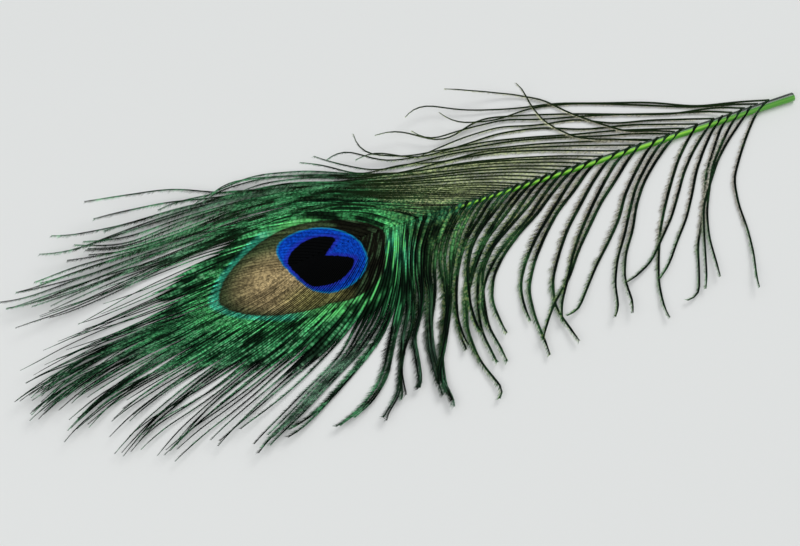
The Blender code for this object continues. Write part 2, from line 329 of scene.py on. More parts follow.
@dataclass(frozen=True)
class Ramp:
    """A value that eases from low to high between two places; start may be the larger one."""

    start: float
    end: float
    low: float = 0.0
    high: float = 1.0

    def at(self, place: float) -> float:
        """Return the value at a place."""
        return blend(self.low, self.high, smooth(place, self.start, self.end))


@dataclass(frozen=True)
class VaneRules:
    """What the barbs of one vane have in common, by their root's distance from the butt.

    Attributes:
        spacing: Gap between neighbouring barbs.
        half_width: Half width of a strand.
        fluff: Size of the barbules against their full length.
        gather: How far the barbs of one bundle draw together.
        reach: How far out the barbs go before they turn along the shaft.
        sway: How much a loose bundle turns, in degrees.
        ragged: How much of its length a barb round the eye may lack.
        line: Least and greatest darkness of the painted shade line beside a barb, where it varies.
        even: How evenly the barbs of a bundle end.
        free: How freely the barbs between the traced ones run.
        early: How early along a barb its barbules begin.
        late: How late along a barb its bundle draws together.
    """

    spacing: Table
    half_width: Table
    fluff: Table
    gather: Table
    reach: float
    sway: float
    ragged: float
    line: Pair | None
    even: Ramp
    free: Ramp
    early: Ramp
    late: Ramp


RULES = {
    Side.NEAR: VaneRules(
        spacing=(
            (7, 4.6), (20, 3.6), (48, 3.8), (88, 3.1), (98, 2.2), (104, 1.5), (109, 1.1),
            (113, 0.8), (117, 0.52), (130, 0.5), (150, 0.48), (163, 0.4),
        ),
        half_width=((7, 0.33), (60, 0.42), (100, 0.38), (112, 0.29), (122, 0.22), (163, 0.2)),
        fluff=(
            (7, 0.6), (40, 0.8), (60, 0.95), (76, 1.0), (88, 0.95), (99, 1.15), (116, 0.85),
            (123, 0.28), (163, 0.24),
        ),
        gather=((30, 0.1), (60, 0.4), (82, 0.75), (104, 0.8), (118, 0.55), (124, 0.2)),
        reach=59.0,
        sway=0.6,
        ragged=0.1,
        line=(0.3, 0.95),
        even=Ramp(122.0, 104.0),
        free=Ramp(84.0, 50.0),
        early=Ramp(84.0, 100.0),
        late=Ramp(88.0, 104.0),
    ),
    Side.FAR: VaneRules(
        spacing=(
            (7, 4.5), (40, 3.6), (64, 3.2), (80, 2.4), (100, 1.6), (119, 1.5), (140, 1.75),
            (150, 1.3), (163, 0.65),
        ),
        half_width=(
            (7, 0.33), (30, 0.31), (50, 0.28), (70, 0.25), (100, 0.2), (122, 0.18), (163, 0.17),
        ),
        fluff=(
            (7, 0.3), (40, 0.5), (60, 0.65), (80, 0.75), (100, 0.6), (116, 0.28), (123, 0.11),
            (163, 0.12),
        ),
        gather=((72, 0.05), (104, 0.1), (122, 0.3)),
        reach=40.5,
        sway=1.3,
        ragged=0.38,
        line=None,
        even=Ramp(84.0, 66.0),
        free=Ramp(84.0, 50.0, 0.12, 0.12),
        early=Ramp(5.0, 40.0),
        late=Ramp(88.0, 104.0, 0.0, 0.0),
    ),
}

# Roots: barbs grow from the shaft's upper side, DORSAL of its radius off its middle. Past the last
# traced one they run with the flow round the eye, in ragged bundles.
LAST_TRACED = 119.0
LOOSE = Ramp(122.0, 104.0)
NEW_BUNDLE_CHANCE = 0.36
LARGEST_BUNDLE = 6
DORSAL = 0.72

# Habits: how far chance may go.
SHORTER = 0.14
LEAN = 2.2
LEAN_RHYTHM = 2.1
CLOSE_TURN = 2.4
CLOSE_WAVE = 4.5
LOOSE_WAVE = 1.6
WEB_SHIFT = 0.11
RAGGED = 0.1
BUNDLE_TURN = 1.8
FREE_TURN = 9.0
LAYER_STEP = 0.3
TONE_STEP = 0.004
# Darkness of the painted shade line beside each far barb.
FAINT_LINE = 0.1

# Paths: points are close together over the shaft, and then a step apart.
STEP = 1.9
ROOT_STEP = 0.4
ROOT_STEPS = 6
LEAST_STEPS = 10
WAVES = 9.0
SWAY_ALONG = Ramp(0.2, 0.9)
REACH_EASE = 9.0

# Strands: the width follows the gap in the closed vane, and the barb's own width elsewhere.
WEBBING_SHARE = 0.72
LEAST_WEBBING = 0.13
MOST_WEBBING = 1.0
SLIMMING = Ramp(0.3, 0.9, 1.0, 0.72)
TIP_TAPER = Ramp(0.93, 1.0, 1.0, 0.35)
NECK = Ramp(95.0, 108.0)
NECK_WEB = Ramp(20.0, 7.0)
GATHER_FROM = 0.12
GATHER_TO = 0.45
GATHER_DELAY = 0.2
EARLY_FLUFF = 0.3
FLUFF_START = Ramp(2.0, 6.0)
FLUFF_END = Ramp(0.5, 1.0, 1.0, 0.55)

# Heights above the floor.
REST_HEIGHT = 0.35
LAYER_HEIGHT = 0.4
DROP_RUN = 12.0
RISE_FROM = 0.62
LIFT_SHARE = 0.95
UNDER_WEB_SHARE = 0.6
SHAFT_CLEARANCE = 0.1
ROOT_INSIDE = 0.3


@dataclass(frozen=True)
class Habit:
    """What sets one barb apart from its neighbours.

    Attributes:
        length: Share of its flow's length that it reaches.
        turn: How far it turns from its flow, in degrees.
        wave: How far it waves to both sides, in degrees.
        wave_phase: Where its wave starts, in radians.
        layer: How high it lies among its neighbours, from 0 to 1.
        tone: Its own number for the finish, from 0 to 1.
        parting_shade: How dark the painted shade line beside it is, in the gap to the next barb.
        web_shift: How much earlier than its neighbours it comes loose.
        bundle_root: Root of the barb that its bundle draws towards.
    """

    length: float = 1.0
    turn: float = 0.0
    wave: float = 0.0
    wave_phase: float = 0.0
    layer: float = 0.9
    tone: float = 0.6
    parting_shade: float = 0.0
    web_shift: float = 0.0
    bundle_root: float = 0.0


BARB_VALUES = ("half_width", "fluff", "web", "run", "share", "tone", "parting_shade")


@dataclass
class Barb:
    """One barb: its points in stem millimetres, and at each one the BARB_VALUES."""

    points: list[Vector] = field(default_factory=list)
    values: list[tuple[float, ...]] = field(default_factory=list)


def stations(length: float) -> list[float]:
    """Return how far along a barb its points lie: close together over the shaft, then even."""
    start = ROOT_STEP * ROOT_STEPS
    count = max(int((length - start) / STEP), LEAST_STEPS)
    close = [ROOT_STEP * index for index in range(ROOT_STEPS)]
    return close + [blend(start, length, index / count) for index in range(count + 1)]


def gap_beside(own: Path, beside: Path, index: int) -> float:
    """Return how far from a barb its neighbour runs, square to the barb.

    Args:
        own: The barb's path.
        beside: Its neighbour's path.
        index: The station.

    Returns:
        The gap there.
    """
    x, y = own[index]
    next_x, next_y = beside[min(index, len(beside) - 1)]
    ahead, back = own[min(index + 1, len(own) - 1)], own[max(index - 1, 0)]
    run_x, run_y = ahead[0] - back[0], ahead[1] - back[1]
    square = abs((next_x - x) * run_y - (next_y - y) * run_x)
    return square / max(math.hypot(run_x, run_y), 1e-6)


@dataclass(frozen=True)
class VaneZone:
    """A stretch of one vane whose barbs make one piece.

    Attributes:
        name: The piece's name.
        side: The vane that it belongs to.
        first_root: Where its first barb grows.
        last_root: Where its last barb may grow.
        seed: Seed of its barbs' habits.
        barbule_spacing: Gap between barbules along a barb.
        barbule_half_width: Half width of a barbule at its foot.
        strays: Flows of single barbs that run across the others.
    """

    name: str
    side: Side
    first_root: float
    last_root: float
    seed: int
    barbule_spacing: float
    barbule_half_width: float = 0.08
    strays: tuple[Flow, ...] = ()

    @property
    def rules(self) -> VaneRules:
        """Return the rules of this zone's vane."""
        return RULES[self.side]

    @property
    def rows(self) -> list[float]:
        """Return the roots of the vane's flows."""
        return [flow.root for flow in FLOWS[self.side]]

    def nearest(self, root: float) -> float:
        """Return the flow's root that lies nearest to a root."""
        return min(self.rows, key=lambda row: abs(row - root))

    def roots(self) -> list[float]:
        """Return where this zone's barbs grow: at the flows' roots and evenly between them."""
        places = []
        for low, high in zip(self.rows, self.rows[1:]):
            gap = read_table(self.rules.spacing, (low + high) / 2.0)
            count = max(round((high - low) / gap), 1)
            places += [low + (high - low) * index / count for index in range(count)]
        return [root for root in places if self.first_root <= root < self.last_root]

    def bundles(self, dice: random.Random) -> list[list[float]]:
        """Split the roots into bundles: round each traced barb, and ragged ones round the eye."""
        found: list[list[float]] = []
        middle = -1.0
        for root in self.roots():
            nearest = self.nearest(root)
            if root < LAST_TRACED:
                apart = nearest != middle
            else:
                full = bool(found) and len(found[-1]) >= LARGEST_BUNDLE
                apart = dice.random() < NEW_BUNDLE_CHANCE or full
            if not found or apart:
                found.append([])
                middle = nearest
            found[-1].append(root)
        return found

    def shared_habit(self, dice: random.Random, middle: float) -> Habit:
        """Draw what the barbs of one bundle have in common.

        Args:
            dice: Where the draws come from.
            middle: Root of the bundle's middle.

        Returns:
            The habit that each of them starts from.
        """
        loose = LOOSE.at(middle)
        sway = self.rules.sway
        lean = math.sin(middle * LEAN_RHYTHM + self.seed) * LEAN * (1.0 - loose)
        return Habit(
            length=1.0 - dice.uniform(0.0, SHORTER) * (1.0 - loose),
            turn=lean + max(-2.0, min(dice.gauss(0.0, 1.0), 2.0)) * blend(CLOSE_TURN, sway, loose),
            wave=dice.gauss(0.0, blend(CLOSE_WAVE, LOOSE_WAVE * sway, loose)),
            wave_phase=dice.uniform(0.0, 2.0 * math.pi),
            layer=dice.random(),
            tone=dice.random(),
            web_shift=dice.gauss(0.0, WEB_SHIFT),
            bundle_root=middle,
        )

    def habits(self) -> list[tuple[float, Habit]]:
        """Draw every barb's habit; the barbs of one bundle sway together."""
        dice = random.Random(self.seed)
        rules = self.rules
        drawn = []
        for bundle in self.bundles(dice):
            middle = (bundle[0] + bundle[-1]) / 2.0
            if middle < LAST_TRACED:
                middle = self.nearest(middle)
            shared = self.shared_habit(dice, middle)
            ragged = blend(RAGGED, rules.ragged, 1.0 - LOOSE.at(middle))
            free = rules.free.at(middle)
            for root in bundle:
                # How dark the painted shade in the gap beside the barb is; full beside a bundle's
                # last barb.
                line = dice.uniform(*rules.line) if rules.line else FAINT_LINE
                stray = float(root not in self.rows)
                length = shared.length - dice.uniform(0.0, ragged) * (1.0 - rules.even.at(middle))
                habit = replace(
                    shared,
                    length=length - dice.uniform(0.0, SHORTER) * stray * free,
                    turn=shared.turn + dice.gauss(0.0, blend(BUNDLE_TURN, FREE_TURN, free)) * stray,
                    layer=min(shared.layer + dice.uniform(0.0, LAYER_STEP), 1.0),
                    tone=shared.tone + dice.uniform(-TONE_STEP, TONE_STEP),
                    parting_shade=max(float(root == bundle[-1]), line),
                )
                drawn.append((root, habit))
        return drawn

    def path(self, shape: FeatherShape, root: float, habit: Habit, flow: Flow) -> Path:
        """Trace where a barb runs, seen from above.

        Args:
            shape: The feather's rules.
            root: Where the barb grows.
            habit: What sets it apart.
            flow: How the barbs run there.

        Returns:
            Places along and across the shaft, one at each station.
        """
        runs = stations(flow.length * habit.length)
        sign, reach = self.side.value, self.rules.reach
        x, y = root, shape.shaft_sideways(root) - DORSAL * shape.shaft_radius(root)
        places = []
        for run, after in zip(runs, [*runs[1:], runs[-1]]):
            places.append((x, y))
            share = run / runs[-1]
            web = shape.closed(x, y, habit.web_shift)
            sway = habit.turn + habit.wave * math.sin(WAVES * share + habit.wave_phase)
            turned = flow.heading(min(share * habit.length, 1.0))
            turned += sway * SWAY_ALONG.at(share) * (1.0 - web)
            turned -= max(turned, 0.0) * smooth(sign * y, reach - REACH_EASE, reach)
            x += (after - run) * math.cos(math.radians(turned))
            y += (after - run) * math.sin(math.radians(turned)) * sign
        return places

    def flow_path(self, shape: FeatherShape, root: float, habit: Habit) -> Path:
        """Trace a barb that runs as its neighbours do."""
        return self.path(shape, root, habit, shape.flow_at(self.side, root))

    def barb(
        self, shape: FeatherShape, root: float, habit: Habit, flow: Flow | None = None
    ) -> Barb:
        """Trace one barb from the shaft to its tip.

        Args:
            shape: The feather's rules.
            root: Where the barb grows.
            habit: What sets it apart.
            flow: How it runs, if not like its neighbours.

        Returns:
            The barb's points and values.
        """
        rules = self.rules
        flow = flow or shape.flow_at(self.side, root)
        own = self.path(shape, root, habit, flow)
        beside = self.flow_path(shape, root + read_table(rules.spacing, root), habit)
        middle = own
        if habit.bundle_root != root:
            middle = self.flow_path(shape, habit.bundle_root, habit)
        runs = stations(flow.length * habit.length)
        half_width = read_table(rules.half_width, root)
        fluff_size = read_table(rules.fluff, root)
        together = read_table(rules.gather, root)
        delay = GATHER_DELAY * rules.late.at(root)
        fluff_pace = blend(1.0, EARLY_FLUFF, rules.early.at(root))
        rest = REST_HEIGHT + LAYER_HEIGHT * habit.layer
        barb = Barb()
        for index, ((x, y), run) in enumerate(zip(own, runs)):
            share = run / runs[-1]
            web = shape.closed(x, y, habit.web_shift)
            webbing = WEBBING_SHARE * gap_beside(own, beside, index)
            webbing = min(max(webbing, LEAST_WEBBING), MOST_WEBBING)
            middle_x, middle_y = middle[min(index, len(middle) - 1)]
            gather = together * (1.0 - web)
            gather *= smooth(share, GATHER_FROM + delay, GATHER_TO + delay)
            x, y = blend(x, middle_x, gather), blend(y, middle_y, gather)
            strand = half_width * SLIMMING.at(share) * TIP_TAPER.at(share)
            close = max(web, NECK.at(root) * NECK_WEB.at(run))
            height = self.height(shape, flow, (x, y), run, share, rest, web)
            width = blend(strand, max(webbing, strand), close) * MM
            fluff = fluff_size * self.fluff(run / fluff_pace, share, web)
            barb.points.append(Vector((x, y, height)))
            barb.values.append((width, fluff, web, run, share, habit.tone, habit.parting_shade))
        return barb

    @staticmethod
    def fluff(run: float, share: float, web: float) -> float:
        """Return the size of the barbules: none over the shaft and the web, small at the tip."""
        return FLUFF_START.at(run) * FLUFF_END.at(share) * (1.0 - web)

    @staticmethod
    def height(
        shape: FeatherShape,
        flow: Flow,
        place: Pair,
        run: float,
        share: float,
        rest: float,
        web: float,
    ) -> float:
        """Return a barb's height: over the shaft, down to the floor and up again at the tip.

        Args:
            shape: The feather's rules.
            flow: How the barb runs.
            place: Where the point lies, along and across the shaft.
            run: How far along the barb it lies.
            share: The same as a share of the barb's length.
            rest: The height at which the barb lies.
            web: 1 where the vane is closed, 0 where it is loose.

        Returns:
            The point's height.
        """
        radius = shape.shaft_radius(flow.root)
        shoulder = shape.shaft_centre_height(flow.root) + radius * math.sqrt(1.0 - DORSAL * DORSAL)
        drop = max(0.0, 1.0 - run / DROP_RUN) ** 2
        rise = max(0.0, (share - RISE_FROM) / (1.0 - RISE_FROM)) ** 2
        lying = rest + max(shoulder - rest, 0.0) * drop + LIFT_SHARE * flow.lift * rise
        crowned = shape.web_height(shape.web_radius(*place))
        height = blend(lying, max(crowned, lying * UNDER_WEB_SHARE), web)
        surface = shape.shaft_surface(*place)
        if surface > 0.0 and run > ROOT_INSIDE:
            return max(height, surface + SHAFT_CLEARANCE)
        return height

    def barbs(self, shape: FeatherShape) -> list[Barb]:
        """Trace every barb of the zone."""
        found = [self.barb(shape, root, habit) for root, habit in self.habits()]
        for flow in self.strays:
            found.append(self.barb(shape, flow.root, Habit(bundle_root=flow.root), flow))
        return found


# ---------------- Node trees ----------------


class Desk:
    """A node tree while it is built: short calls that add a node and return its output.

    Wherever a call takes a value, it also takes the name of one of the desk's own values.
    """

    def __init__(self, tree: NodeTree) -> None:
        """Keep the tree that the calls add to."""
        self.tree = tree
        self.values: dict[str, Socket] = {}

    def add(self, kind: str, inputs: dict | None = None, **settings: object) -> Node:
        """Add a node, set its options and feed its inputs.

        Args:
            kind: The node's type.
            inputs: Values by the name or the number of an input.
            settings: The node's options.

        Returns:
            The node.
        """
        node = self.tree.nodes.new(kind)
        for name, value in settings.items():
            setattr(node, name, value)
        for place, value in (inputs or {}).items():
            self.feed(node.inputs[place], value)
        return node

    def feed(self, socket: Socket, value: object) -> None:
        """Link a value into a socket, or set it there."""
        if isinstance(value, str):
            value = self.values.get(value, value)
        if isinstance(value, Socket):
            self.tree.links.new(value, socket)
        else:
            socket.default_value = value

    def math(self, operation: str, *values: object) -> Socket:
        """Add a Math node on up to three values."""
        return self.add("ShaderNodeMath", dict(enumerate(values)), operation=operation).outputs[0]

    def product(self, *factors: object) -> Socket:
        """Return the product of two or more numbers."""
        return reduce(lambda one, other: self.math("MULTIPLY", one, other), factors)

    def line(self, value: object, slope: object, start: object) -> Socket:
        """Return a value times a slope, plus a start."""
        return self.math("MULTIPLY_ADD", value, slope, start)

    def vector(self, operation: str, *values: object) -> Socket:
        """Add a Vector Math node and return its vector."""
        node = self.add("ShaderNodeVectorMath", dict(enumerate(values)), operation=operation)
        return node.outputs[0]

    def scaled(self, vector: object, factor: object) -> Socket:
        """Return a vector times a number."""
        inputs = {"Vector": vector, "Scale": factor}
        return self.add("ShaderNodeVectorMath", inputs, operation="SCALE").outputs[0]

    def combine(self, *numbers: object) -> Socket:
        """Return a vector of three numbers."""
        return self.add("ShaderNodeCombineXYZ", dict(enumerate(numbers))).outputs[0]

    def separate(self, vector: object) -> tuple[Socket, ...]:
        """Return the three numbers of a vector."""
        return tuple(self.add("ShaderNodeSeparateXYZ", {0: vector}).outputs)

    def turned(self, x: object, y: object, middle: Pair, heading: float) -> tuple[Socket, Socket]:
        """Return how far a place lies from a middle, along a heading in degrees and across it."""
        turn = math.radians(heading)
        off_x, off_y = (self.math("SUBTRACT", *pair) for pair in zip((x, y), middle))
        along = self.line(off_x, math.cos(turn), self.product(off_y, math.sin(turn)))
        return along, self.line(off_x, -math.sin(turn), self.product(off_y, math.cos(turn)))

    def ease(self, value: object, low: float, high: float) -> Socket:
        """Return 0 where a value is at low and 1 at high, eased; low may be the larger."""
        ends = (low, high, 0.0, 1.0) if low < high else (high, low, 1.0, 0.0)
        inputs = {"Value": value, **dict(enumerate(ends, 1))}
        node = self.add("ShaderNodeMapRange", inputs, interpolation_type="SMOOTHSTEP", clamp=True)
        return node.outputs[0]

    def mix(self, share: object, low: object, high: object) -> Socket:
        """Return the colour a share of the way from low to high."""
        inputs = {0: share, 6: low, 7: high}
        return self.add("ShaderNodeMix", inputs, data_type="RGBA").outputs[2]

    def shade(self, colour: object, factor: object) -> Socket:
        """Return a colour made darker or lighter by a factor."""
        inputs = {0: 1.0, 6: colour, 7: self.combine(factor, factor, factor)}
        node = self.add("ShaderNodeMix", inputs, data_type="RGBA", blend_type="MULTIPLY")
        return node.outputs[2]

    def noise(self, vector: object, scale: float, detail: float = 2.0) -> Socket:
        """Return cloudy noise from 0 to 1 at a vector."""
        inputs = {"Vector": vector, "Scale": scale, "Detail": detail}
        return self.add("ShaderNodeTexNoise", inputs).outputs[0]

    def place(self) -> Socket:
        """Return the place in millimetres from the middle of the eye, in a shader tree."""
        return self.scaled(self.add("ShaderNodeTexCoord").outputs["Object"], 1.0 / MM)

    def attribute(self, name: str) -> Socket:
        """Return a number stored on the mesh, in a shader tree."""
        return self.add("ShaderNodeAttribute", attribute_name=name).outputs["Fac"]

    def stored(self, name: str) -> Socket:
        """Return a number stored on the geometry, in a geometry tree."""
        node = self.add("GeometryNodeInputNamedAttribute", {"Name": name}, data_type="FLOAT")
        return node.outputs["Attribute"]

    def store(self, geometry: object, name: str, value: object) -> Socket:
        """Store a number on each point of a geometry."""
        kind = "GeometryNodeStoreNamedAttribute"
        inputs = {"Name": name, "Geometry": geometry, "Value": value}
        return self.add(kind, inputs, data_type="FLOAT", domain="POINT").outputs[0]

    def chance(self, low: float, high: float, seed: object) -> Socket:
        """Return a random number between two ends, for each element."""
        inputs = {2: low, 3: high, "Seed": seed}
        return self.add("FunctionNodeRandomValue", inputs, data_type="FLOAT").outputs[1]


def new_socket(tree: NodeTree, name: str, kind: str, way: str) -> bpy.types.NodeTreeInterfaceSocket:
    """Give a tree a new input or output."""
    return tree.interface.new_socket(name, in_out=way, socket_type="NodeSocket" + kind)


UP = (0.0, 0.0, 1.0)


@dataclass(frozen=True)
class BarbTree:
    """The Geometry Nodes tree that turns traced barbs into closed meshes.

    Each barb becomes a flat strand whose width follows half_width. Along it stand rows of
    barbules, on the side towards the feather's tip and on the side towards its butt.
    """

    spacing: float = 0.16
    distal_length: float = 3.1
    distal_angle: float = 44.0
    proximal_length: float = 1.0
    proximal_angle: float = 34.0
    barbule_half_width: float = 0.08
    strand_depth: float = 0.26
    angle_spread: float = 0.2
    droop: float = 0.22
    least_fluff: float = 0.06
    shortest: float = 0.8
    flatness: float = 0.5
    clump_scale: float = 900.0
    clump_line: Pair = (1.5, 0.2)

    def build(self) -> NodeTree:
        """Build the tree with its named inputs.

        Returns:
            The geometry node group.
        """
        tree = bpy.data.node_groups.new("barbs_and_barbules", "GeometryNodeTree")
        for name, kind, value in (
            ("Geometry", "Geometry", None),
            ("Barbule Spacing", "Float", self.spacing * MM),
            ("Distal Length", "Float", self.distal_length * MM),
            ("Distal Angle", "Float", math.radians(self.distal_angle)),
            ("Proximal Length", "Float", self.proximal_length * MM),
            ("Proximal Angle", "Float", math.radians(self.proximal_angle)),
            ("Barbule Half Width", "Float", self.barbule_half_width * MM),
            ("Distal Side", "Float", 1.0),
            ("Seed", "Int", 1),
            ("Finish", "Material", None),
        ):
            socket = new_socket(tree, name, kind, "INPUT")
            if value is not None:
                socket.default_value = value
        new_socket(tree, "Geometry", "Geometry", "OUTPUT")
        desk = Desk(tree)
        given = desk.add("NodeGroupInput").outputs
        curve = desk.add("GeometryNodeMeshToCurve", {"Mesh": given["Geometry"]}).outputs[0]
        upright = desk.add("GeometryNodeSetCurveNormal", {"Curve": curve}, mode="Z_UP").outputs[0]
        inputs = {"Curve": upright, "Length": given["Barbule Spacing"]}
        points = desk.add("GeometryNodeCurveToPoints", inputs, mode="LENGTH")
        blade = self.barbule(desk)
        joined = desk.add("GeometryNodeJoinGeometry", {0: self.strands(desk, upright)})
        for row, (name, side) in enumerate((("Distal", 1.0), ("Proximal", -1.0))):
            sizes = (given[f"{name} Length"], given[f"{name} Angle"], given["Barbule Half Width"])
            towards = desk.product(given["Distal Side"], side)
            draw = desk.math("ADD", given["Seed"], row * 7.0)
            stood = self.row(desk, points.outputs, blade, towards, sizes, draw)
            desk.feed(joined.inputs[0], stood)
        real = desk.add("GeometryNodeRealizeInstances", {"Geometry": joined.outputs[0]})
        inputs = {"Geometry": real.outputs[0], "Material": given["Finish"]}
        dressed = desk.add("GeometryNodeSetMaterial", inputs)
        desk.add("NodeGroupOutput", {0: dressed.outputs[0]})
        return tree

    def strands(self, desk: Desk, curve: Socket) -> Socket:
        """Sweep a flat kite along each barb, scaled by its half width.

        Args:
            desk: The tree.
            curve: The barbs as curves.

        Returns:
            The strands' mesh, with the place across each one stored.
        """
        sizes = {"Width": 2.0, "Bottom Height": self.strand_depth, "Top Height": self.strand_depth}
        kite = desk.add("GeometryNodeCurvePrimitiveQuadrilateral", sizes, mode="KITE")
        place = desk.add("GeometryNodeInputPosition").outputs[0]
        profile = desk.store(kite.outputs[0], "across", desk.separate(place)[0])
        inputs = {"Curve": curve, "Profile Curve": profile, "Scale": desk.stored("half_width")}
        sweep = desk.add("GeometryNodeCurveToMesh", {**inputs, "Fill Caps": True})
        soft = desk.add("GeometryNodeSetShadeSmooth", {"Geometry": sweep.outputs[0]})
        return soft.outputs[0]

    def barbule(self, desk: Desk) -> Socket:
        """Make one barbule of unit length: a closed spike of four triangles."""
        sizes = {"Vertices": 3, "Radius Top": 0.0, "Radius Bottom": 1.0, "Depth": 1.0}
        spike = desk.add("GeometryNodeMeshCone", sizes, fill_type="NGON")
        place = desk.add("GeometryNodeInputPosition").outputs[0]
        return desk.store(spike.outputs[0], "reach", desk.separate(place)[2])

    def row(
        self,
        desk: Desk,
        points: dict[str, Socket],
        blade: Socket,
        towards: Socket,
        sizes: tuple[Socket, Socket, Socket],
        seed: Socket,
    ) -> Socket:
        """Stand one row of barbules along the barbs.

        Args:
            desk: The tree.
            points: Outputs of the Curve to Points node.
            blade: One barbule.
            towards: 1 or -1 for the side that the row leans to.
            sizes: A barbule's full length, its angle to its barb and its half width at the foot.
            seed: Seed of the row.

        Returns:
            The barbules as instances.
        """
        length, angle, broad = sizes
        along = points["Tangent"]
        side = desk.scaled(desk.vector("CROSS_PRODUCT", UP, along), towards)
        lean = desk.math("ADD", angle, desk.chance(-self.angle_spread, self.angle_spread, seed))
        forward = desk.scaled(along, desk.math("COSINE", lean))
        outward = desk.scaled(side, desk.math("SINE", lean))
        rise = desk.combine(0.0, 0.0, desk.chance(-self.droop, 0.0, desk.math("ADD", seed, 1.0)))
        aim = desk.vector("ADD", desk.vector("ADD", forward, outward), rise)
        axes = {"Primary Axis": aim, "Secondary Axis": UP}
        turn = desk.add("FunctionNodeAxesToRotation", axes, primary_axis="Z", secondary_axis="Y")
        fluff = desk.stored("fluff")
        here = desk.add("GeometryNodeInputPosition").outputs[0]
        clump = desk.line(desk.noise(here, self.clump_scale), *self.clump_line)
        vary = desk.product(clump, desk.chance(self.shortest, 1.0, desk.math("ADD", seed, 2.0)))
        reach = desk.product(desk.product(length, fluff), vary)
        inputs = {
            "Points": points["Points"],
            "Selection": desk.math("GREATER_THAN", fluff, self.least_fluff),
            "Instance": blade,
            "Rotation": turn.outputs[0],
            "Scale": desk.combine(broad, desk.product(broad, self.flatness), reach),
        }
        return desk.add("GeometryNodeInstanceOnPoints", inputs).outputs[0]


# ---------------- Finishes ----------------


@dataclass(frozen=True)
class Oval:
    """A turned oval, in millimetres from the middle of the eye.

    Attributes:
        middle: Its middle.
        half_length: Half of its length.
        half_width: Half of its width.
        turn: How far its length is turned from the shaft's line, in degrees.
        fullness: 2 for an ellipse, less for an outline with pointed ends.
    """

    middle: Pair
    half_length: float
    half_width: float
    turn: float = 0.0
    fullness: float = 2.0

    def share(self, desk: Desk, x: object, y: object) -> Socket:
        """Return 0 at the oval's middle and 1 on its outline."""
        powers = []
        sizes = (self.half_length, self.half_width)
        for part, size in zip(desk.turned(x, y, self.middle, self.turn), sizes):
            part = desk.math("ABSOLUTE", desk.product(part, 1.0 / size))
            powers.append(desk.math("POWER", part, self.fullness))
        return desk.math("POWER", desk.math("ADD", *powers), 1.0 / self.fullness)

    def depth(self, desk: Desk, x: object, y: object) -> Socket:
        """Return about how many millimetres a point lies outside the oval."""
        return desk.product(desk.math("SUBTRACT", self.share(desk, x, y), 1.0), self.half_width)


@dataclass(frozen=True)
class EyeMarks:
    """Where the marks of the eye lie, in millimetres from the middle of the eye."""

    bronze: Oval = Oval((-2.2, 1.3), 23.8, 13.0, 5.5, 1.63)
    bronze_base: Oval = Oval((-10.3, 3.0), 13.5, 11.8)
    base_softness: float = 0.12
    tan_spot: Oval = Oval((4.5, 4.0), 13.0, 9.5)
    blue: Oval = Oval((-6.2, 1.1), 12.9, 10.3, -15.0)
    heart: Oval = Oval((-6.9, 1.5), 9.0, 7.4)
    flat_normal: Pair = (0.93, 0.367)
    blue_flat: float = 2.6
    blue_softness: float = 8.0
    heart_flat: float = 1.3
    heart_softness: float = 2.0
    notch_apex: Pair = (-8.5, 0.25)
    notch_heading: float = 187.5
    notch_half_angle: float = 31.0
    notch_softness: float = 2.6

    def build(self) -> NodeTree:
        """Build the group that measures how far a point lies from each mark's edge.

        Returns:
            A group from a place to the bronze's radius share and the depths of blue and heart.
        """
        tree = bpy.data.node_groups.new("eye_marks", "ShaderNodeTree")
        new_socket(tree, "Place", "Vector", "INPUT")
        for name in ("Bronze", "Blue", "Heart"):
            new_socket(tree, name, "Float", "OUTPUT")
        desk = Desk(tree)
        x, y, _ = desk.separate(desk.add("NodeGroupInput").outputs["Place"])
        marks = [oval.share(desk, x, y) for oval in (self.bronze, self.bronze_base)]
        bronze = desk.math("SMOOTH_MIN", *marks, self.base_softness)
        flat = desk.line(x, self.flat_normal[0], desk.product(y, self.flat_normal[1]))
        cut = desk.math("SUBTRACT", flat, self.blue_flat)
        blue = desk.math("SMOOTH_MAX", self.blue.depth(desk, x, y), cut, self.blue_softness)
        cut = desk.math("SUBTRACT", flat, self.heart_flat)
        heart = desk.math("SMOOTH_MAX", self.heart.depth(desk, x, y), cut, self.heart_softness)
        heart = desk.math("SMOOTH_MAX", heart, self.notch(desk, x, y), self.notch_softness)
        desk.add("NodeGroupOutput", {"Bronze": bronze, "Blue": blue, "Heart": heart})
        return tree

    def notch(self, desk: Desk, x: object, y: object) -> Socket:
        """Return how deep a point lies in the notch that makes the heart's two lobes."""
        half = math.radians(self.notch_half_angle)
        ahead, aside = desk.turned(x, y, self.notch_apex, self.notch_heading)
        outward = desk.product(desk.math("ABSOLUTE", aside), -math.cos(half))
        return desk.line(ahead, math.sin(half), outward)


@dataclass(frozen=True)
class Coat:
    """A colour that comes in where each of its named values has eased from one end to the other.

    Attributes:
        colour: Name of the colour in the finish.
        spans: Names of values, each with where it counts 0 and where it counts 1.
        strength: How much of the colour comes in at most.
    """

    colour: str
    spans: tuple[tuple[str, float, float], ...]
    strength: float = 1.0

    def share(self, desk: Desk) -> Socket:
        """Return how much of the colour comes in."""
        eased = [desk.ease(*span) for span in self.spans]
        return desk.product(*eased, self.strength) if self.strength < 1.0 else desk.product(*eased)


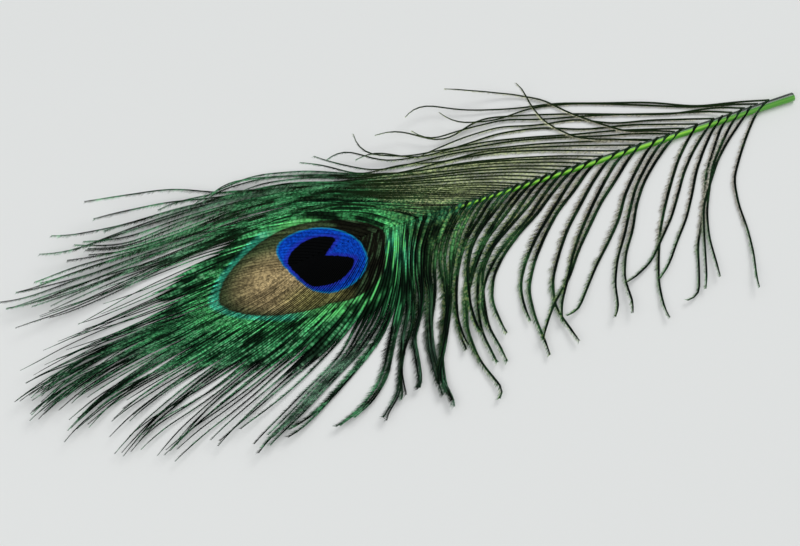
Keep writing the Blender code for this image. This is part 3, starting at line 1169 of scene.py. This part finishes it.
OUTSIDE_COATS = (
    Coat("emerald", (("x", -6, -14),)),
    Coat("forest", (("bronze", 1.2, 1.5),)),
    Coat("night", (("bronze", 1.7, 2.4),)),
    Coat("fringe_olive", (("bronze", 1.5, 2.3), ("tone", 0.45, 0.75))),
    Coat("brush_green", (("y", -3, 3), ("bronze", 1.8, 2.6), ("x", 10, 34)), 0.65),
    Coat("stem_olive", (("x", -26, -50), ("y", -2, -6))),
    Coat("fan_teal", (("x", -12, -20), ("y", -3, 3), ("y", 13, 4))),
    Coat("stem_green", (("x", -24, -34), ("y", -3, 1))),
    Coat("straw", (("x", -22, -34), ("fleck", 0.52, 0.64), ("y", 14, 3)), 0.35),
)
# Painted highlights: pale glints and bright green sheen streaks on the barbs.
SHINE_COATS = (
    Coat("glint", (("tick", 0.54, 0.62), ("dash", 0.46, 0.55), ("x", -20, -8)), 0.5),
    Coat(
        "bright",
        (
            ("bronze", 1.36, 1.2), ("y", -3, 3), ("x", 9, -6), ("dash", 0.46, 0.54),
            ("fleck", 0.3, 0.44),
        ),
    ),
)
INSIDE_COATS = (
    Coat("gold", (("y", 5, 10), ("x", 10, 0)), 0.8),
    Coat("olive", (("bronze", 0.82, 1),), 0.6),
    Coat("base_brown", (("bronze", 0.94, 1),), 0.6),
    Coat("base_brown", (("x", -5, -14),)),
    Coat("base_line", (("x", -8, -14), ("dash", 0.5, 0.6)), 0.7),
)
BLUE_COATS = (Coat("rim", (("blue", -0.6, -0.05),)), Coat("violet", (("heart", 1.4, 0.1),), 0.7))
FUZZ_COATS = (
    Coat("brown_fuzz", (("x", -98, -62),)),
    Coat("dark_fuzz", (("x", -70, -52),)),
    Coat("olive_fuzz", (("y", 0, -5),)),
    Coat("neck_fuzz", (("y", 0, -5), ("x", -98, -64))),
    Coat("green_fuzz", (("x", -62, -34), ("fleck", 0.6, 0.4)), 0.8),
    Coat("green_fuzz", (("share", 0.55, 0.85), ("y", -5, 0)), 0.8),
    Coat("khaki_fuzz", (("fleck", 0.5, 0.58), ("x", -96, -60), ("y", -5, 0)), 0.7),
)
HORN_COATS = (
    Coat("upper", (("turned", 66, 84),)),
    Coat("crest", (("turned", 88, 100),)),
    Coat("lower", (("turned", 165, 190),)),
    Coat("under", (("turned", 215, 240),)),
    Coat("lower", (("turned", 305, 335),)),
)
# Painted shade: the shaft darkens to its crest colour where it runs under the closed vane round the
# eye.
SHADE_UNDER_VANE_COATS = (Coat("crest", (("x", -52, -42),), 0.9),)

# Noises along a barb: steps a millimetre, steps between two barbs, an offset and the detail.
BARB_NOISES = {
    "streak": (0.12, 90.0, 0.0, 3.0),
    "dash": (0.09, 900.0, 0.0, 1.0),
    "tick": (1.3, 900.0, 7.0, 1.0),
}
STORED = ("tone", "parting_shade", "web", "run", "share", "reach", "across")


class Finish:
    """What all finishes share: a new material, and coats of colour over each other."""

    @staticmethod
    def start(name: str, settings: dict[str, object]) -> tuple[Material, Desk]:
        """Make a material and set constants of its shader.

        Args:
            name: The material's name.
            settings: Values of the shader's inputs by their names.

        Returns:
            The material and its tree.
        """
        material = bpy.data.materials.new(name)
        material.use_nodes = True
        inputs = material.node_tree.nodes["Principled BSDF"].inputs
        for label, value in settings.items():
            inputs[label].default_value = value
        return material, Desk(material.node_tree)

    @staticmethod
    def end(desk: Desk, colour: Socket) -> None:
        """Give the shader its colour."""
        desk.feed(desk.tree.nodes["Principled BSDF"].inputs["Base Color"], colour)

    def layered(self, desk: Desk, colour: object, coats: tuple[Coat, ...]) -> Socket:
        """Lay coats over a colour, one after the other."""
        for coat in coats:
            colour = desk.mix(coat.share(desk), colour, srgb(getattr(self, coat.colour)))
        return colour


@dataclass(frozen=True)
class PlumageFinish(Finish):
    """The colours of the barbs and barbules, from the eye outwards."""

    heart: str = "#010203"
    blue: str = "#0c56dc"
    deep_blue: str = "#04309a"
    violet: str = "#2a2cb4"
    rim: str = "#1286b4"
    base_brown: str = "#15160c"
    olive: str = "#3d4a2e"
    tan: str = "#b39e72"
    gold: str = "#969156"
    ring_green: str = "#5cb866"
    ring_teal: str = "#2f8c70"
    # Painted highlight: bright green sheen streaks below the bronze.
    bright: str = "#6ee880"
    fan_teal: str = "#3fb58a"
    # Painted highlight: pale green glint specks.
    glint: str = "#86c494"
    base_line: str = "#3c5538"
    emerald: str = "#317844"
    forest: str = "#265f39"
    night: str = "#234a30"
    brush_green: str = "#0f2c1b"
    straw: str = "#6d7a45"
    fringe_olive: str = "#375040"
    stem_olive: str = "#59623f"
    stem_green: str = "#2c5630"
    beige_fuzz: str = "#b8b2a2"
    brown_fuzz: str = "#7c7160"
    dark_fuzz: str = "#30502b"
    olive_fuzz: str = "#bfbaa0"
    neck_fuzz: str = "#a8b282"
    green_fuzz: str = "#46884a"
    khaki_fuzz: str = "#98a06a"
    ramus: str = "#050e09"
    far_ramus: str = "#1a2a12"
    under: str = "#4a4438"
    roughness: float = 0.55
    gloss: float = 0.03
    marks: EyeMarks = EyeMarks()

    def build(self) -> Material:
        """Build the plumage material.

        Returns:
            The material.
        """
        settings = {"Roughness": self.roughness, "Specular IOR Level": self.gloss}
        material, desk = self.start("plumage", settings)
        self.measure(desk)
        outside, inside = self.outside(desk), self.inside(desk)
        colour = desk.mix(desk.ease("bronze", 1.02, 0.98), outside, inside)
        patch = desk.mix(desk.ease("fleck", 0.3, 0.7), srgb(self.deep_blue), srgb(self.blue))
        patch = self.layered(desk, patch, BLUE_COATS)
        colour = desk.mix(desk.ease("blue", 0.18, -0.18), colour, patch)
        colour = desk.mix(desk.ease("heart", 0.15, -0.15), colour, srgb(self.heart))
        # Painted shade at the strands' edges and in the gaps between barbs.
        colour = self.loose(desk, desk.shade(colour, self.gap_shade(desk)))
        normal = desk.add("ShaderNodeNewGeometry").outputs["True Normal"]
        below = desk.product(desk.ease(desk.separate(normal)[2], 0.05, -0.15), 0.8)
        self.end(desk, desk.mix(below, colour, srgb(self.under)))
        return material

    def measure(self, desk: Desk) -> None:
        """Name what the colours depend on: stored numbers, place, depth in the marks, noises.

        Args:
            desk: The tree.
        """
        values = desk.values
        values.update({name: desk.attribute(name) for name in STORED})
        place = desk.place()
        values["x"], values["y"], _ = desk.separate(place)
        wander = desk.line("tone", 0.35, -0.175)
        shift = desk.math("ADD", wander, desk.line(desk.noise(place, 1.1), 0.7, -0.35))
        marks = desk.add("ShaderNodeGroup", {"Place": place}, node_tree=self.marks.build())
        for mark, wobble in (("Bronze", 0.03), ("Blue", 0.5), ("Heart", 0.6)):
            values[mark.lower()] = desk.line(shift, wobble, marks.outputs[mark])
        values["fleck"] = desk.noise(place, 1.7)
        for name, (pace, apart, offset, detail) in BARB_NOISES.items():
            along, other = desk.product("run", pace), desk.product("tone", apart)
            values[name] = desk.noise(desk.combine(along, other, offset), 1.0, detail)

    def outside(self, desk: Desk) -> Socket:
        """Return the greens outside the bronze, with painted shade and painted highlights along the
        barbs.

        Args:
            desk: The tree.

        Returns:
            The colour of the rings, the fan, the fringe and the barbs towards the butt.
        """
        near, teal = desk.ease("y", -3.0, 3.0), desk.ease("x", -2.0, 7.0)
        ring = desk.mix(teal, srgb(self.ring_green), srgb(self.ring_teal))
        stretch = desk.line(desk.ease("x", 6.0, 15.0), 0.7, 1.0)
        off = desk.product(desk.math("SUBTRACT", "bronze", 1.0), stretch)
        wide = desk.line(desk.product(teal, desk.ease("y", 8.0, 2.0)), -0.055, off)
        colour = desk.mix(desk.ease(wide, 0.08, 0.18), ring, srgb(self.emerald))
        colour = self.layered(desk, colour, OUTSIDE_COATS)
        calm = desk.product(desk.ease(off, 0.16, 0.07), desk.ease("x", -12.0, -4.0))
        calm = desk.product(calm, desk.line(near, -0.4, 0.85))
        # Streaks along each barb: partly its own tone, which differs at random, partly painted
        # shade in the gaps and painted highlight on the barbs.
        depth = desk.product(
            desk.line(desk.ease("streak", 0.4, 0.6), 0.9, 0.45),
            desk.line(desk.ease("dash", 0.41, 0.6), 2.3, 0.1),
            desk.line(desk.ease("x", -16.0, -4.0), 0.25, 1.0),
        )
        depth = desk.line(calm, desk.math("SUBTRACT", 1.0, depth), depth)
        fan = desk.product(desk.ease("x", -6.0, -16.0), desk.ease("x", -40.0, -30.0), near)
        grained = desk.line(desk.math("MAXIMUM", calm, fan), -0.65, 1.0)
        mixed = desk.product(desk.math("ADD", "fleck", "tick"), 0.5)
        grain = desk.line(desk.ease(mixed, 0.41, 0.59), 1.25, -0.5)
        colour = desk.shade(desk.shade(colour, depth), desk.line(grain, grained, 1.0))
        # Painted highlights laid over the greens.
        return self.layered(desk, colour, SHINE_COATS)

    def inside(self, desk: Desk) -> Socket:
        """Return the bronze, from its dark base to its pale middle and olive edge.

        Args:
            desk: The tree.

        Returns:
            The colour.
        """
        spot = self.marks.tan_spot.share(desk, "x", "y")
        colour = desk.mix(desk.ease(spot, 1.3, 0.4), srgb(self.olive), srgb(self.tan))
        colour = self.layered(desk, colour, INSIDE_COATS)
        speck = desk.ease(desk.noise(desk.combine("x", "y", 3.0), 0.9, 4.0), 0.56, 0.66)
        speck = desk.product(speck, desk.ease(spot, 0.9, 0.4))
        depth = desk.line(desk.ease("dash", 0.35, 0.65), 0.75, 0.58)
        depth = desk.product(depth, desk.line(speck, -0.5, 1.0))
        grain = desk.line(desk.ease("fleck", 0.3, 0.7), 1.0, 0.5)
        return desk.shade(desk.shade(colour, depth), grain)

    def gap_shade(self, desk: Desk) -> Socket:
        """Return how much of a strand's colour painted shade leaves, at its edges and in the gaps
        between barbs.

        Args:
            desk: The tree.

        Returns:
            A factor for the colour.
        """
        clear = desk.math("MAXIMUM", desk.ease("y", 2.0, 6.0), desk.ease("bronze", 1.1, 1.2))
        fan = desk.product(
            desk.ease("x", -8.0, -16.0), desk.ease("x", -42.0, -32.0), desk.ease("y", -3.0, 3.0)
        )
        parting_shade = desk.product(
            "parting_shade",
            desk.ease("across", -0.3, 0.1),
            desk.line(clear, 0.75, 0.25),
            desk.math("MAXIMUM", "web", fan),
        )
        edge = desk.ease(desk.math("ABSOLUTE", "across"), 0.5, 0.95)
        edge = desk.product(edge, desk.line(fan, 0.55, 0.35))
        lost = desk.math("MAXIMUM", desk.product(parting_shade, 0.95), edge)
        return desk.math("SUBTRACT", 1.0, lost)

    def loose(self, desk: Desk, colour: Socket) -> Socket:
        """Lay dark strands and pale fuzz over the colour where the barbs run apart.

        Args:
            desk: The tree.
            colour: The colour so far.

        Returns:
            The colour.
        """
        far = desk.ease("y", 0.0, -5.0)
        beside = desk.product(desk.ease("run", 26.0, 6.0), desk.ease("x", -58.0, -40.0))
        near_dark = desk.line(desk.ease("x", -36.0, -64.0), 0.62, 0.28)
        near_dark = desk.product(near_dark, desk.line(beside, -0.5, 1.0))
        far_dark = desk.product(far, desk.ease("x", -12.0, -30.0), desk.line(beside, -0.85, 1.0))
        lower = desk.product(desk.ease("share", 0.16, 0.45), desk.ease("x", -18.0, -34.0), 0.8)
        dark = desk.math("MAXIMUM", desk.math("MAXIMUM", near_dark, far_dark), lower)
        reach = desk.math("DIVIDE", "reach", desk.line(far, -0.29, 0.45))
        apart = desk.math("SUBTRACT", 1.0, "web")
        ramus = desk.mix(far, srgb(self.ramus), srgb(self.far_ramus))
        colour = desk.mix(desk.product(apart, desk.ease(reach, 1.0, 0.2), dark), colour, ramus)
        fuzz = self.layered(desk, srgb(self.beige_fuzz), FUZZ_COATS)
        fuzz = desk.shade(fuzz, desk.line(desk.ease("fleck", 0.38, 0.62), 1.0, 0.5))
        varied = desk.line(desk.ease("dash", 0.35, 0.65), 1.0, -0.5)
        fuzz = desk.shade(fuzz, desk.line(far, varied, 1.0))
        amount = desk.line(desk.ease("x", -22.0, -42.0), 0.85, 0.05)
        return desk.mix(desk.product(desk.ease(reach, 0.3, 1.1), amount), colour, fuzz)


@dataclass(frozen=True)
class ShaftFinish(Finish):
    """The shaft: bright green horn with a painted highlight band along its upper flank, dark along
    its crest and in painted shade under the vane, with pale pith at the cut.
    """

    crest: str = "#0e2414"
    upper: str = "#3f8a28"
    # Partly the horn's own bright green, partly a painted highlight band on its upper near flank.
    middle: str = "#a2ec46"
    butt_green: str = "#529c3a"
    lower: str = "#4aa51a"
    under: str = "#b9b48c"
    pith: str = "#cfd2b0"
    roughness: float = 0.28
    coat: float = 0.3
    coat_roughness: float = 0.2
    streaks: Point = (0.12, 2.2, 2.2)

    def build(self) -> Material:
        """Build the shaft's material.

        Returns:
            The material.
        """
        settings = {"Coat Weight": self.coat, "Coat Roughness": self.coat_roughness}
        material, desk = self.start("shaft_horn", {**settings, "Roughness": self.roughness})
        place = desk.place()
        desk.values["x"] = desk.separate(place)[0]
        grain = desk.noise(desk.vector("MULTIPLY", place, self.streaks), 1.0, 3.0)
        butt = desk.ease("x", -108.0, -136.0)
        turned = desk.math("ADD", desk.attribute("around"), desk.line(grain, 16.0, -8.0))
        desk.values["turned"] = desk.line(butt, 12.0, turned)
        middle = desk.mix(desk.product(butt, 0.85), srgb(self.middle), srgb(self.butt_green))
        # The middle band of the turn round the shaft is a painted highlight.
        colour = desk.mix(desk.ease("turned", 30.0, 62.0), srgb(self.lower), middle)
        colour = self.layered(desk, colour, HORN_COATS)
        colour = desk.shade(colour, desk.line(grain, 0.5, 0.75))
        # Painted shade where the shaft runs under the vane.
        colour = self.layered(desk, colour, SHADE_UNDER_VANE_COATS)
        self.end(desk, desk.mix(desk.attribute("cut"), colour, srgb(self.pith)))
        return material


@dataclass(frozen=True)
class FloorFinish(Finish):
    """The plain pale floor."""

    colour: str = "#ebecea"
    roughness: float = 0.6
    gloss: float = 0.1

    def build(self) -> Material:
        """Build the floor's material."""
        settings = {"Roughness": self.roughness, "Specular IOR Level": self.gloss}
        return self.start("pale_floor", {**settings, "Base Color": srgb(self.colour)})[0]


# ---------------- Pieces ----------------

# The bake map: room round each half, the height of a half, and where the halves begin.
MAP_MARGIN = 0.01
HALF_HEIGHT = 0.49
LOWER_HALF, UPPER_HALF = 0.005, 0.505


def read(items: bpy.types.bpy_prop_collection, name: str, kind: type, width: int = 1) -> np.ndarray:
    """Return one value of each of a mesh's items, a row for each where it has a width."""
    numbers = np.empty(len(items) * width, dtype=kind)
    items.foreach_get(name, numbers)
    return numbers.reshape(-1, width) if width > 1 else numbers


def put(name: str, data: ID) -> Object:
    """Put a mesh, a light or a camera in the scene."""
    item = bpy.data.objects.new(name, data)
    bpy.context.scene.collection.objects.link(item)
    return item


def lay_bake_map(mesh: Mesh) -> None:
    """Lay the mesh out flat, its top faces in one half of the square and the others below.

    Args:
        mesh: The piece's mesh.
    """
    places = read(mesh.vertices, "co", float, 3)[:, :2]
    low, high = places.min(axis=0), places.max(axis=0)
    flat = MAP_MARGIN + (1.0 - 2.0 * MAP_MARGIN) * (places - low) / (high - low)
    totals = read(mesh.polygons, "loop_total", np.int32)
    up = np.repeat(read(mesh.polygons, "normal", float, 3)[:, 2] >= 0.0, totals)
    layout = flat[read(mesh.loops, "vertex_index", np.int32)]
    layout[:, 1] = layout[:, 1] * HALF_HEIGHT + np.where(up, UPPER_HALF, LOWER_HALF)
    layer = mesh.uv_layers.new(name=BAKE_MAP)
    layer.data.foreach_set("uv", layout.astype(np.float32).ravel())


def add_piece(name: str, mesh: Mesh) -> Object:
    """Put a finished mesh in the scene as a piece of the feather.

    Args:
        name: The piece's name.
        mesh: Its mesh, in place.

    Returns:
        The piece.
    """
    mesh.name = name
    lay_bake_map(mesh)
    piece = put(name, mesh)
    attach(piece, BODY)
    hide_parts(NODE)
    LOG.info("%s: %d triangles", name, triangles(mesh))
    return piece


def triangles(mesh: Mesh) -> int:
    """Return how many triangles a mesh has."""
    return sum(len(polygon.vertices) - 2 for polygon in mesh.polygons)


@dataclass
class Vanes:
    """Both vanes: every barb, zone by zone."""

    shape: FeatherShape
    tree: BarbTree = field(default_factory=BarbTree)
    lowest: float = 0.03
    zones: tuple[VaneZone, ...] = (
        VaneZone("near_loose_barbs", Side.NEAR, 7.0, 108.0, 3, 0.11, 0.075),
        VaneZone("near_neck_barbs", Side.NEAR, 108.0, 121.0, 5, 0.17),
        VaneZone("near_eye_barbs", Side.NEAR, 121.0, 142.0, 7, 0.2),
        VaneZone("near_crown_barbs", Side.NEAR, 142.0, 163.0, 9, 0.2),
        VaneZone("far_loose_barbs", Side.FAR, 7.0, 72.0, 13, 0.14, 0.066, STRAY_FLOW),
        VaneZone("far_neck_barbs", Side.FAR, 72.0, 108.0, 15, 0.14, 0.07),
        VaneZone("far_eye_barbs", Side.FAR, 108.0, 136.0, 17, 0.2),
        VaneZone("far_crown_barbs", Side.FAR, 136.0, 163.0, 19, 0.2),
    )

    def traced(self, zone: VaneZone) -> Mesh:
        """Write a zone's barbs as a mesh of edges with their values on its points.

        Args:
            zone: The stretch of vane.

        Returns:
            The mesh.
        """
        barbs = zone.barbs(self.shape)
        places = [self.shape.to_frame(*point) for barb in barbs for point in barb.points]
        edges = []
        for barb in barbs:
            first = edges[-1][1] + 1 if edges else 0
            edges += [(first + step, first + step + 1) for step in range(len(barb.points) - 1)]
        mesh = bpy.data.meshes.new(zone.name + "_lines")
        mesh.from_pydata(places, edges, [])
        columns = zip(*(row for barb in barbs for row in barb.values))
        for name, numbers in zip(BARB_VALUES, columns):
            mesh.attributes.new(name, "FLOAT", "POINT").data.foreach_set("value", numbers)
        return mesh

    def grow(self, zone: VaneZone, tree: NodeTree, finish: Material) -> Object:
        """Grow one zone's barbs and barbules and keep them as a plain mesh.

        Args:
            zone: The stretch of vane.
            tree: The barb tree.
            finish: The plumage material.

        Returns:
            The piece.
        """
        source = put(zone.name + "_source", self.traced(zone))
        modifier = source.modifiers.new("barbs", "NODES")
        modifier.node_group = tree
        inputs = {
            "Distal Side": float(-zone.side.value),
            "Barbule Spacing": zone.barbule_spacing * MM,
            "Barbule Half Width": zone.barbule_half_width * MM,
            "Seed": zone.seed,
            "Finish": finish,
        }
        for item in tree.interface.items_tree:
            if item.in_out == "INPUT" and item.name in inputs:
                modifier[item.identifier] = inputs[item.name]
        evaluated = source.evaluated_get(bpy.context.evaluated_depsgraph_get())
        mesh = bpy.data.meshes.new_from_object(evaluated)
        bpy.data.objects.remove(source, do_unlink=True)
        places = read(mesh.vertices, "co", float, 3)
        places[:, 2] = np.maximum(places[:, 2], self.lowest * MM)
        mesh.vertices.foreach_set("co", places.ravel())
        for name in [layer.name for layer in mesh.attributes]:
            layer = mesh.attributes[name]
            if layer.domain == "POINT" and name not in STORED and not layer.is_required:
                mesh.attributes.remove(layer)
        return add_piece(zone.name, mesh)

    def build(self) -> list[Object]:
        """Grow every zone."""
        tree, finish = self.tree.build(), PlumageFinish().build()
        return [self.grow(zone, tree, finish) for zone in self.zones]


@dataclass(frozen=True)
class ShaftRing:
    """One ring of the shaft's skin.

    Attributes:
        x: Its distance from the butt.
        size: Its size against the shaft's.
        at_cut: 1 on the pith, 0 on the horn.
        inset: How much further in it lies.
    """

    x: float
    size: float = 1.0
    at_cut: float = 0.0
    inset: float = 0.0


@dataclass
class Shaft:
    """The tapering shaft, cut across at the butt and grooved underneath."""

    shape: FeatherShape
    stations: int = 90
    points: int = 28
    groove: float = 0.22
    groove_half_angle: float = 0.5
    lowest: float = 0.01
    pith_depth: float = 0.12
    pith_sizes: Pair = (0.3, 0.76)
    rim_sizes: Pair = (0.82, 0.97)
    bevel: float = 0.06
    tip_run: float = 0.3
    tip_size: float = 0.4

    def outline(self, ring: ShaftRing) -> list[Point]:
        """Return a ring's points in stem millimetres, from the near side over the crest."""
        radius = self.shape.shaft_radius(ring.x) * ring.size
        centre = self.shape.shaft_centre_height(ring.x)
        places = []
        for index in range(self.points):
            angle = 2.0 * math.pi * index / self.points
            groove = smooth(abs(angle - 1.5 * math.pi), self.groove_half_angle, 0.0)
            y = self.shape.shaft_sideways(ring.x) + radius * math.cos(angle)
            z = centre + radius * (1.0 - self.groove * groove) * math.sin(angle)
            places.append((ring.x + ring.inset, y, max(z, self.lowest)))
        return places

    def rings(self) -> list[ShaftRing]:
        """Return the rings from the pith over the cut's rim and along the horn to its tip."""
        length = self.shape.shaft_length
        pith = [ShaftRing(0.0, size, 1.0, self.pith_depth) for size in self.pith_sizes]
        rim = [ShaftRing(0.0, size) for size in self.rim_sizes]
        horn = [ShaftRing(length * index / self.stations) for index in range(1, self.stations + 1)]
        tip = ShaftRing(length + self.tip_run, self.tip_size)
        return [*pith, *rim, ShaftRing(self.bevel), *horn, tip]

    def build(self) -> Object:
        """Loft the shaft and dress it.

        Returns:
            The piece.
        """
        cage = bmesh.new()
        around = cage.verts.layers.float.new("around")
        cut = cage.verts.layers.float.new("cut")
        rings = []
        for ring in self.rings():
            rings.append([])
            for index, place in enumerate(self.outline(ring)):
                vertex = cage.verts.new(self.shape.to_frame(*place))
                vertex[around] = 360.0 * index / self.points
                vertex[cut] = ring.at_cut
                rings[-1].append(vertex)
        for low, high in zip(rings, rings[1:]):
            for index in range(self.points):
                after = (index + 1) % self.points
                cage.faces.new((low[index], high[index], high[after], low[after]))
        cage.faces.new(rings[0])
        cage.faces.new(list(reversed(rings[-1])))
        bmesh.ops.recalc_face_normals(cage, faces=cage.faces)
        for face in cage.faces:
            face.smooth = True
        mesh = bpy.data.meshes.new("shaft")
        cage.to_mesh(mesh)
        cage.free()
        mesh.materials.append(ShaftFinish().build())
        return add_piece("shaft", mesh)


# ---------------- Studio ----------------


@dataclass(frozen=True)
class Lamp:
    """One square soft light that is aimed at the feather."""

    name: str
    place: Point
    size: float
    power: float


@dataclass
class Studio:
    """The pale floor, the soft light and the camera at the photograph's angle."""

    floor_size: float = 4.0
    camera_place: Point = (0.04728, 0.19980, 0.35026)
    camera_target: Point = (-0.02526, 0.01104, 0.0)
    lens: float = 70.0
    sensor: float = 36.0
    clip: Pair = (0.01, 20.0)
    sky_colour: str = "#f4f7fa"
    sky: float = 0.48
    lamps: tuple[Lamp, ...] = (
        Lamp("key", (-1.12, -0.63, 1.42), 1.05, 13.8),
        Lamp("fill", (0.55, 0.35, 0.75), 0.75, 3.0),
    )

    def build(self) -> None:
        """Build the floor, the world, the lights and the camera."""
        cage = bmesh.new()
        bmesh.ops.create_grid(cage, x_segments=1, y_segments=1, size=self.floor_size / 2.0)
        mesh = bpy.data.meshes.new("floor")
        cage.to_mesh(mesh)
        cage.free()
        mesh.materials.append(FloorFinish().build())
        put("floor", mesh)
        world = bpy.data.worlds.new("soft_sky")
        world.use_nodes = True
        background = world.node_tree.nodes["Background"]
        background.inputs["Color"].default_value = srgb(self.sky_colour)
        background.inputs["Strength"].default_value = self.sky
        bpy.context.scene.world = world
        for lamp in self.lamps:
            light = bpy.data.lights.new(lamp.name, "AREA")
            light.shape, light.size, light.energy = "SQUARE", lamp.size, lamp.power
            self.aim(put(lamp.name, light), lamp.place, (0.0, 0.0, 0.0))
        data = bpy.data.cameras.new("camera")
        data.lens, data.sensor_width = self.lens, self.sensor
        data.clip_start, data.clip_end = self.clip
        camera = put("camera", data)
        self.aim(camera, self.camera_place, self.camera_target)
        bpy.context.scene.camera = camera
        bpy.context.scene.view_settings.view_transform = "Standard"

    @staticmethod
    def aim(item: Object, place: tuple[float, ...], target: tuple[float, ...]) -> None:
        """Put an object at a place and point it at a target."""
        item.location = place
        look = Vector(target) - Vector(place)
        item.rotation_euler = look.to_track_quat("-Z", "Y").to_euler()


def main() -> None:
    """Build the feather round the frame, piece by piece, and set the studio up."""
    logging.basicConfig(level=logging.INFO, format="%(name)s: %(message)s")
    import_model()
    shape = FeatherShape()
    pieces = [Shaft(shape).build(), *Vanes(shape).build()]
    total = sum(triangles(piece.data) for piece in pieces)
    LOG.info("%d pieces, %d triangles", len(pieces), total)
    Studio().build()


if __name__ == "__main__":
    main()
